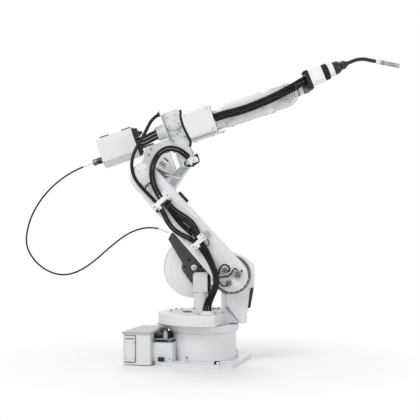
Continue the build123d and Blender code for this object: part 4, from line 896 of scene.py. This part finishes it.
# Wire feeder: a folded sheet case with bevelled long edges and two low handles on its lid. Its drive end is a
# black plate with the sockets of the leads, and the liner comes in behind, through a coupling and a nut.
casting("wire_feeder", sheet_enamel, "elbow", 2.0)
casting("feeder_bracket", black_nylon, "elbow", 1.2)
casting("feeder_handles", black_nylon, "elbow", 1.5)
casting("feeder_inlet", motor_black, "elbow", 0.8)
drive_face = 24.3
mid_depth = -18.5
bm = bmesh.new()
for y in (131.6, 217.6):
    block(bm, at(-76, y, 57.6), 172, 1.2, 1.0)
block(bm, at(-164.2, 178, mid_depth, "back"), 96, 84, 2.2)
block(bm, at(-76, 246.0, mid_depth, "over"), 36, 30, 2.0)
piece("feeder_seams", bm, upper, sheet_enamel, "elbow", 0.5)
bm = bmesh.new()
for x in (-158, -76, 6):
    cap_screw(bm, at(x, 124, 52.6), 3)
for y, depth in product((142, 214), (-52, 15)):
    cap_screw(bm, at(-166.3, y, depth, "back"), 4)
for x in (-138, -106, -29, 3):
    cap_screw(bm, at(x, 252.3, mid_depth, "over"), 4)
for y, depth in product((118, 232), (-66, 30)):
    cap_screw(bm, at(drive_face, y, depth, "front"), 6)
fixings("feeder_screws", bm, upper, "elbow")
bm = bmesh.new()
block(bm, at(drive_face, 214, 22, "front"), 28, 44, 14)
bar(bm, at(drive_face, 212, -34, "front"), 17, 18, 15, sides=40)
bar(bm, at(42, 212, -34, "front"), 9, 12, 8, sides=6)
block(bm, at(drive_face, 132, 24, "front"), 26, 36, 10)
for i in range(9):
    block(bm, at(-130 + i * 9, 176, -94.6, "far"), 3.4, 46, 1.6)
turned(bm, at(-164.4, 147, mid_depth, "back"), ((8, 0), (18.5, 0), (18.5, 3.5), (16, 4.5), (15.2, 27), (8, 27)), 40)
piece("feeder_sockets", bm, upper, black_nylon, "elbow", 0.8)
bm = bmesh.new()
coupling = ((-532.2, 949.6, mid_depth), (-553, 942.6, mid_depth), (-578, 933.2, mid_depth))
bm.from_mesh(smooth_line("liner_coupling", column, coupling, 11))
piece("liner_coupling", bm, Matrix(), nylon, "elbow")
bm = bmesh.new()
turned(bm, at(-176.4, 147, mid_depth, "back"), (
    (11, 15), (14.6, 16), (14.6, 20), (15.8, 21), (15.8, 36), (13, 39), (6.4, 39.4), (6.4, 15),
), 16)
piece("inlet_nut", bm, upper, turned_steel, "elbow", 0.4)

# Forearm: a cast tube with a turned root that runs in the housing, a moulded band where the wrist starts,
# and between the two cheeks the wrist's bearings under stepped covers.
casting("forearm_tube", sprayed_enamel, "forearm", 3.5)
casting("forearm_band", polystyrene, "forearm", 1.0)
casting("wrist_covers", sheet_enamel, "forearm", 1.2)
cheeks = ((1, "side"), (-1, "far"))
bm = bmesh.new()
turned(bm, at(403.6, wrist_rise, 0, "front"), ((50, 0), (52.6, 0), (52.6, 8), (50, 8)))
turned(bm, at(444, wrist_rise, 0, "front"), ((49.4, 0), (52.4, 1), (52.4, 8), (49.4, 9)))
for side, face in cheeks:
    block(bm, at(560, wrist_rise, side * 48.2, face), 180, 62, 2.2)
    block(bm, at(722, wrist_rise, side * 48.2, face), 20, 84, 3.4)
block(bm, at(560, 203.2, 0, "over"), 190, 54, 2.2)
block(bm, at(560, 96.8, 0, "under"), 190, 54, 2.2)
slab(bm, at(0, 0, -14), ((652, 97), (666, 90), (690, 90), (697, 97)), 28)
piece("forearm_pads", bm, upper, sprayed_enamel, "forearm", 1.0)
bm = bmesh.new()
for side, face in cheeks:
    for x, y in product((482, 638), (126, 174)):
        cap_screw(bm, at(x, y, side * 50.4, face), 4)
    for x, y in around((wrist_reach, wrist_rise), 42, 6, 30):
        cap_screw(bm, at(x, y, side * 55.2, face), 4)
for (face, y), x, depth in product((("over", 205.4), ("under", 94.6)), (476, 644), (-18, 18)):
    cap_screw(bm, at(x, y, depth, face), 4)
fixings("forearm_screws", bm, upper, "forearm")
# Black rings paint the shade in the ring grooves of the cheeks' covers; the ring at the housing's front is the seal
# of its running gap.
bm = bmesh.new()
for side, face in cheeks:
    for radius, depth in ((48, 50.2), (34.6, 55.6), (25, 60.6), (13, 60.6)):
        turned(bm, at(wrist_reach, wrist_rise, side * depth, face), (
            (radius - 1.3, -0.4), (radius - 1.3, 0.4), (radius + 1.3, 0.4), (radius + 1.3, -0.4),
        ), 72)
turned(bm, at(housing_front, wrist_rise, 0, "front"), ((43, 0.2), (48.4, 0.2), (48.4, 4.4), (43, 4.4)))
piece("forearm_seals_and_groove_shade", bm, upper, motor_black, "forearm")

# Wrist: the barrel that tilts between the cheeks, ground bright on its snout, and the flange that turns
# on its end.
casting("wrist_block", sprayed_enamel, "wrist", 2.5)
dress(turned_steel, "output_flange")
bm = bmesh.new()
turned(bm, at(52, 0, 0, "front"), ((24.8, 0), (26.8, 1.5), (26.8, 9), (25.4, 11), (24.8, 11)))
turned(bm, at(82, 0, 0, "front"), ((24.8, 0), (26.4, 1), (26.4, 13), (24.8, 13.6)))
piece("snout_rings", bm, tool, turned_steel, "wrist")

# Torch mount: a black anodised plate on the flange with the glands of the two leads, and the white case of
# the break-away joint in front of it.
torch_rise = 31
torch_side = 55
torch = tool @ Matrix.Translation((0, torch_rise, torch_side))
anodised = grained("black_anodised_plate", "#1d1e20", "#151617", 0.38, 0.5, 0.02, 0.3)
casting("tool_plate", anodised, "torch", 1.2)
casting("torch_body", polystyrene, "torch", 3.0)
bm = bmesh.new()
for i in (-0.5, 0.5):
    bar(bm, at(99, i * torch_pitch, 2, "front"), 10.1, 10.6, sides=40)
block(bm, at(103, -41, 8, "front"), 34, 10, 6)
block(bm, at(101, 33, 4, "front"), 40, 12, 8)
piece("torch_glands", bm, torch, black_nylon, "torch", 1.0)
bm = bmesh.new()
for depth, rise in product((-18, 34), (-40, 33)):
    cap_screw(bm, at(109, rise, depth, "back"), 5)
for rise, depth in product((-28, 28), (-28, 28)):
    cap_screw(bm, at(191.4, rise, depth, "front"), 4)
piece("torch_mount_screws", bm, torch, black_oxide, "torch")
bm = bmesh.new()
block(bm, at(161, 0, 40.8), 46, 50, 1.6)
block(bm, at(161, 0, -40.8, "far"), 46, 50, 1.6)
slab(bm, at(0, 0, -34), ((186, -40.6), (194, -40.6), (194, -33), (190, -33)), 68)
piece("torch_body_pads", bm, torch, polystyrene, "torch", 1.0)

# Torch: rubber bellows over the joint's spring, a white clamp ring, the black shock socket with its
# union nut, and the bent neck that ends in a turned nozzle behind a ceramic ring.
casting("torch_bellows", soft_rubber, "torch", 0.9)
casting("torch_ring", polystyrene, "torch", 1.5)
bm = bmesh.new()
turned(bm, at(251.3, 0, 0, "front"), (
    (0.5, 0), (30.4, 0), (32, 1.2), (32, 9), (31, 10), (30.8, 16), (29, 23), (25.2, 29), (19.5, 33.5), (16, 35),
    (0.5, 35),
), 72)
bar(bm, at(285.8, 0, 0, "front"), 20.5, 23, sides=6)
turned(bm, at(308, 0, 0, "front"), ((0.5, 0), (15, 0), (15, 4), (12.6, 9), (9.8, 17), (8.6, 17), (0.5, 12)))
socket = piece("torch_socket", bm, torch, black_nylon, "torch", 0.8)
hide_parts("torch_cap")
neck_lacquer = grained("black_neck_lacquer", "#1a1a1c", "#121214", 0.28, 0.8, 0.02)
dress(neck_lacquer, "swan_neck")
ceramic = grained("glazed_ceramic", "#efeeea", "#e6e5e0", 0.22, 0.8, 0.01)
nickel = grained("nickel_plated_copper", "#c2c2c0", "#9c9c9a", 0.2, 0.6, 0.01, 1.0)
neck_bend = radians(33.5)
neck_end = 76.3
nozzle_place = (386 + neck_end * cos(neck_bend), torch_rise - neck_end * sin(neck_bend), torch_side)
nozzle = tool @ Matrix.Translation(nozzle_place) @ Matrix.Rotation(-neck_bend, 4, "Z")
bm = bmesh.new()
turned(bm, at(0, 0, 0, "front"), ((8.6, 0.1), (10.8, 0.4), (10.9, 1), (10.9, 19), (9.4, 20.4), (6, 20.4), (6, 0.1)))
ring = piece("nozzle_insulator", bm, nozzle, ceramic, "torch")
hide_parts("gas_nozzle")
bm = bmesh.new()
turned(bm, at(0, 0, 0, "front"), (
    (5, 19), (9.6, 19), (9.6, 23), (10.9, 24), (10.9, 38), (9.9, 39), (9.9, 43), (10.7, 44), (10.7, 96), (10, 110),
    (9.9, 113.4), (9.4, 114), (8.2, 114), (8, 113.4), (8, 84), (5, 84),
))
turned(bm, at(0, 0, 0, "front"), ((0.6, 82), (3.6, 82), (3.6, 102), (2.4, 108), (0.6, 108)), 32)
tube = piece("nozzle_tube", bm, nozzle, nickel, "torch")
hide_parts("gas_nozzle")
bm = bmesh.new()
for i in range(4):
    slot = Matrix.Rotation(radians(i * 90 + 45), 4, "X")
    block(bm, slot @ at(34, 0, 10.2), 8, 6, 0.9)
# Two long black strips along the nozzle paint the dark streaks of its reflection.
for turn in (-20, 35):
    block(bm, Matrix.Rotation(radians(turn), 4, "X") @ at(76, 0, 10.3), 34, 2.2, 0.6)
piece("nozzle_ports_and_painted_reflections", bm, nozzle, black_oxide, "torch")
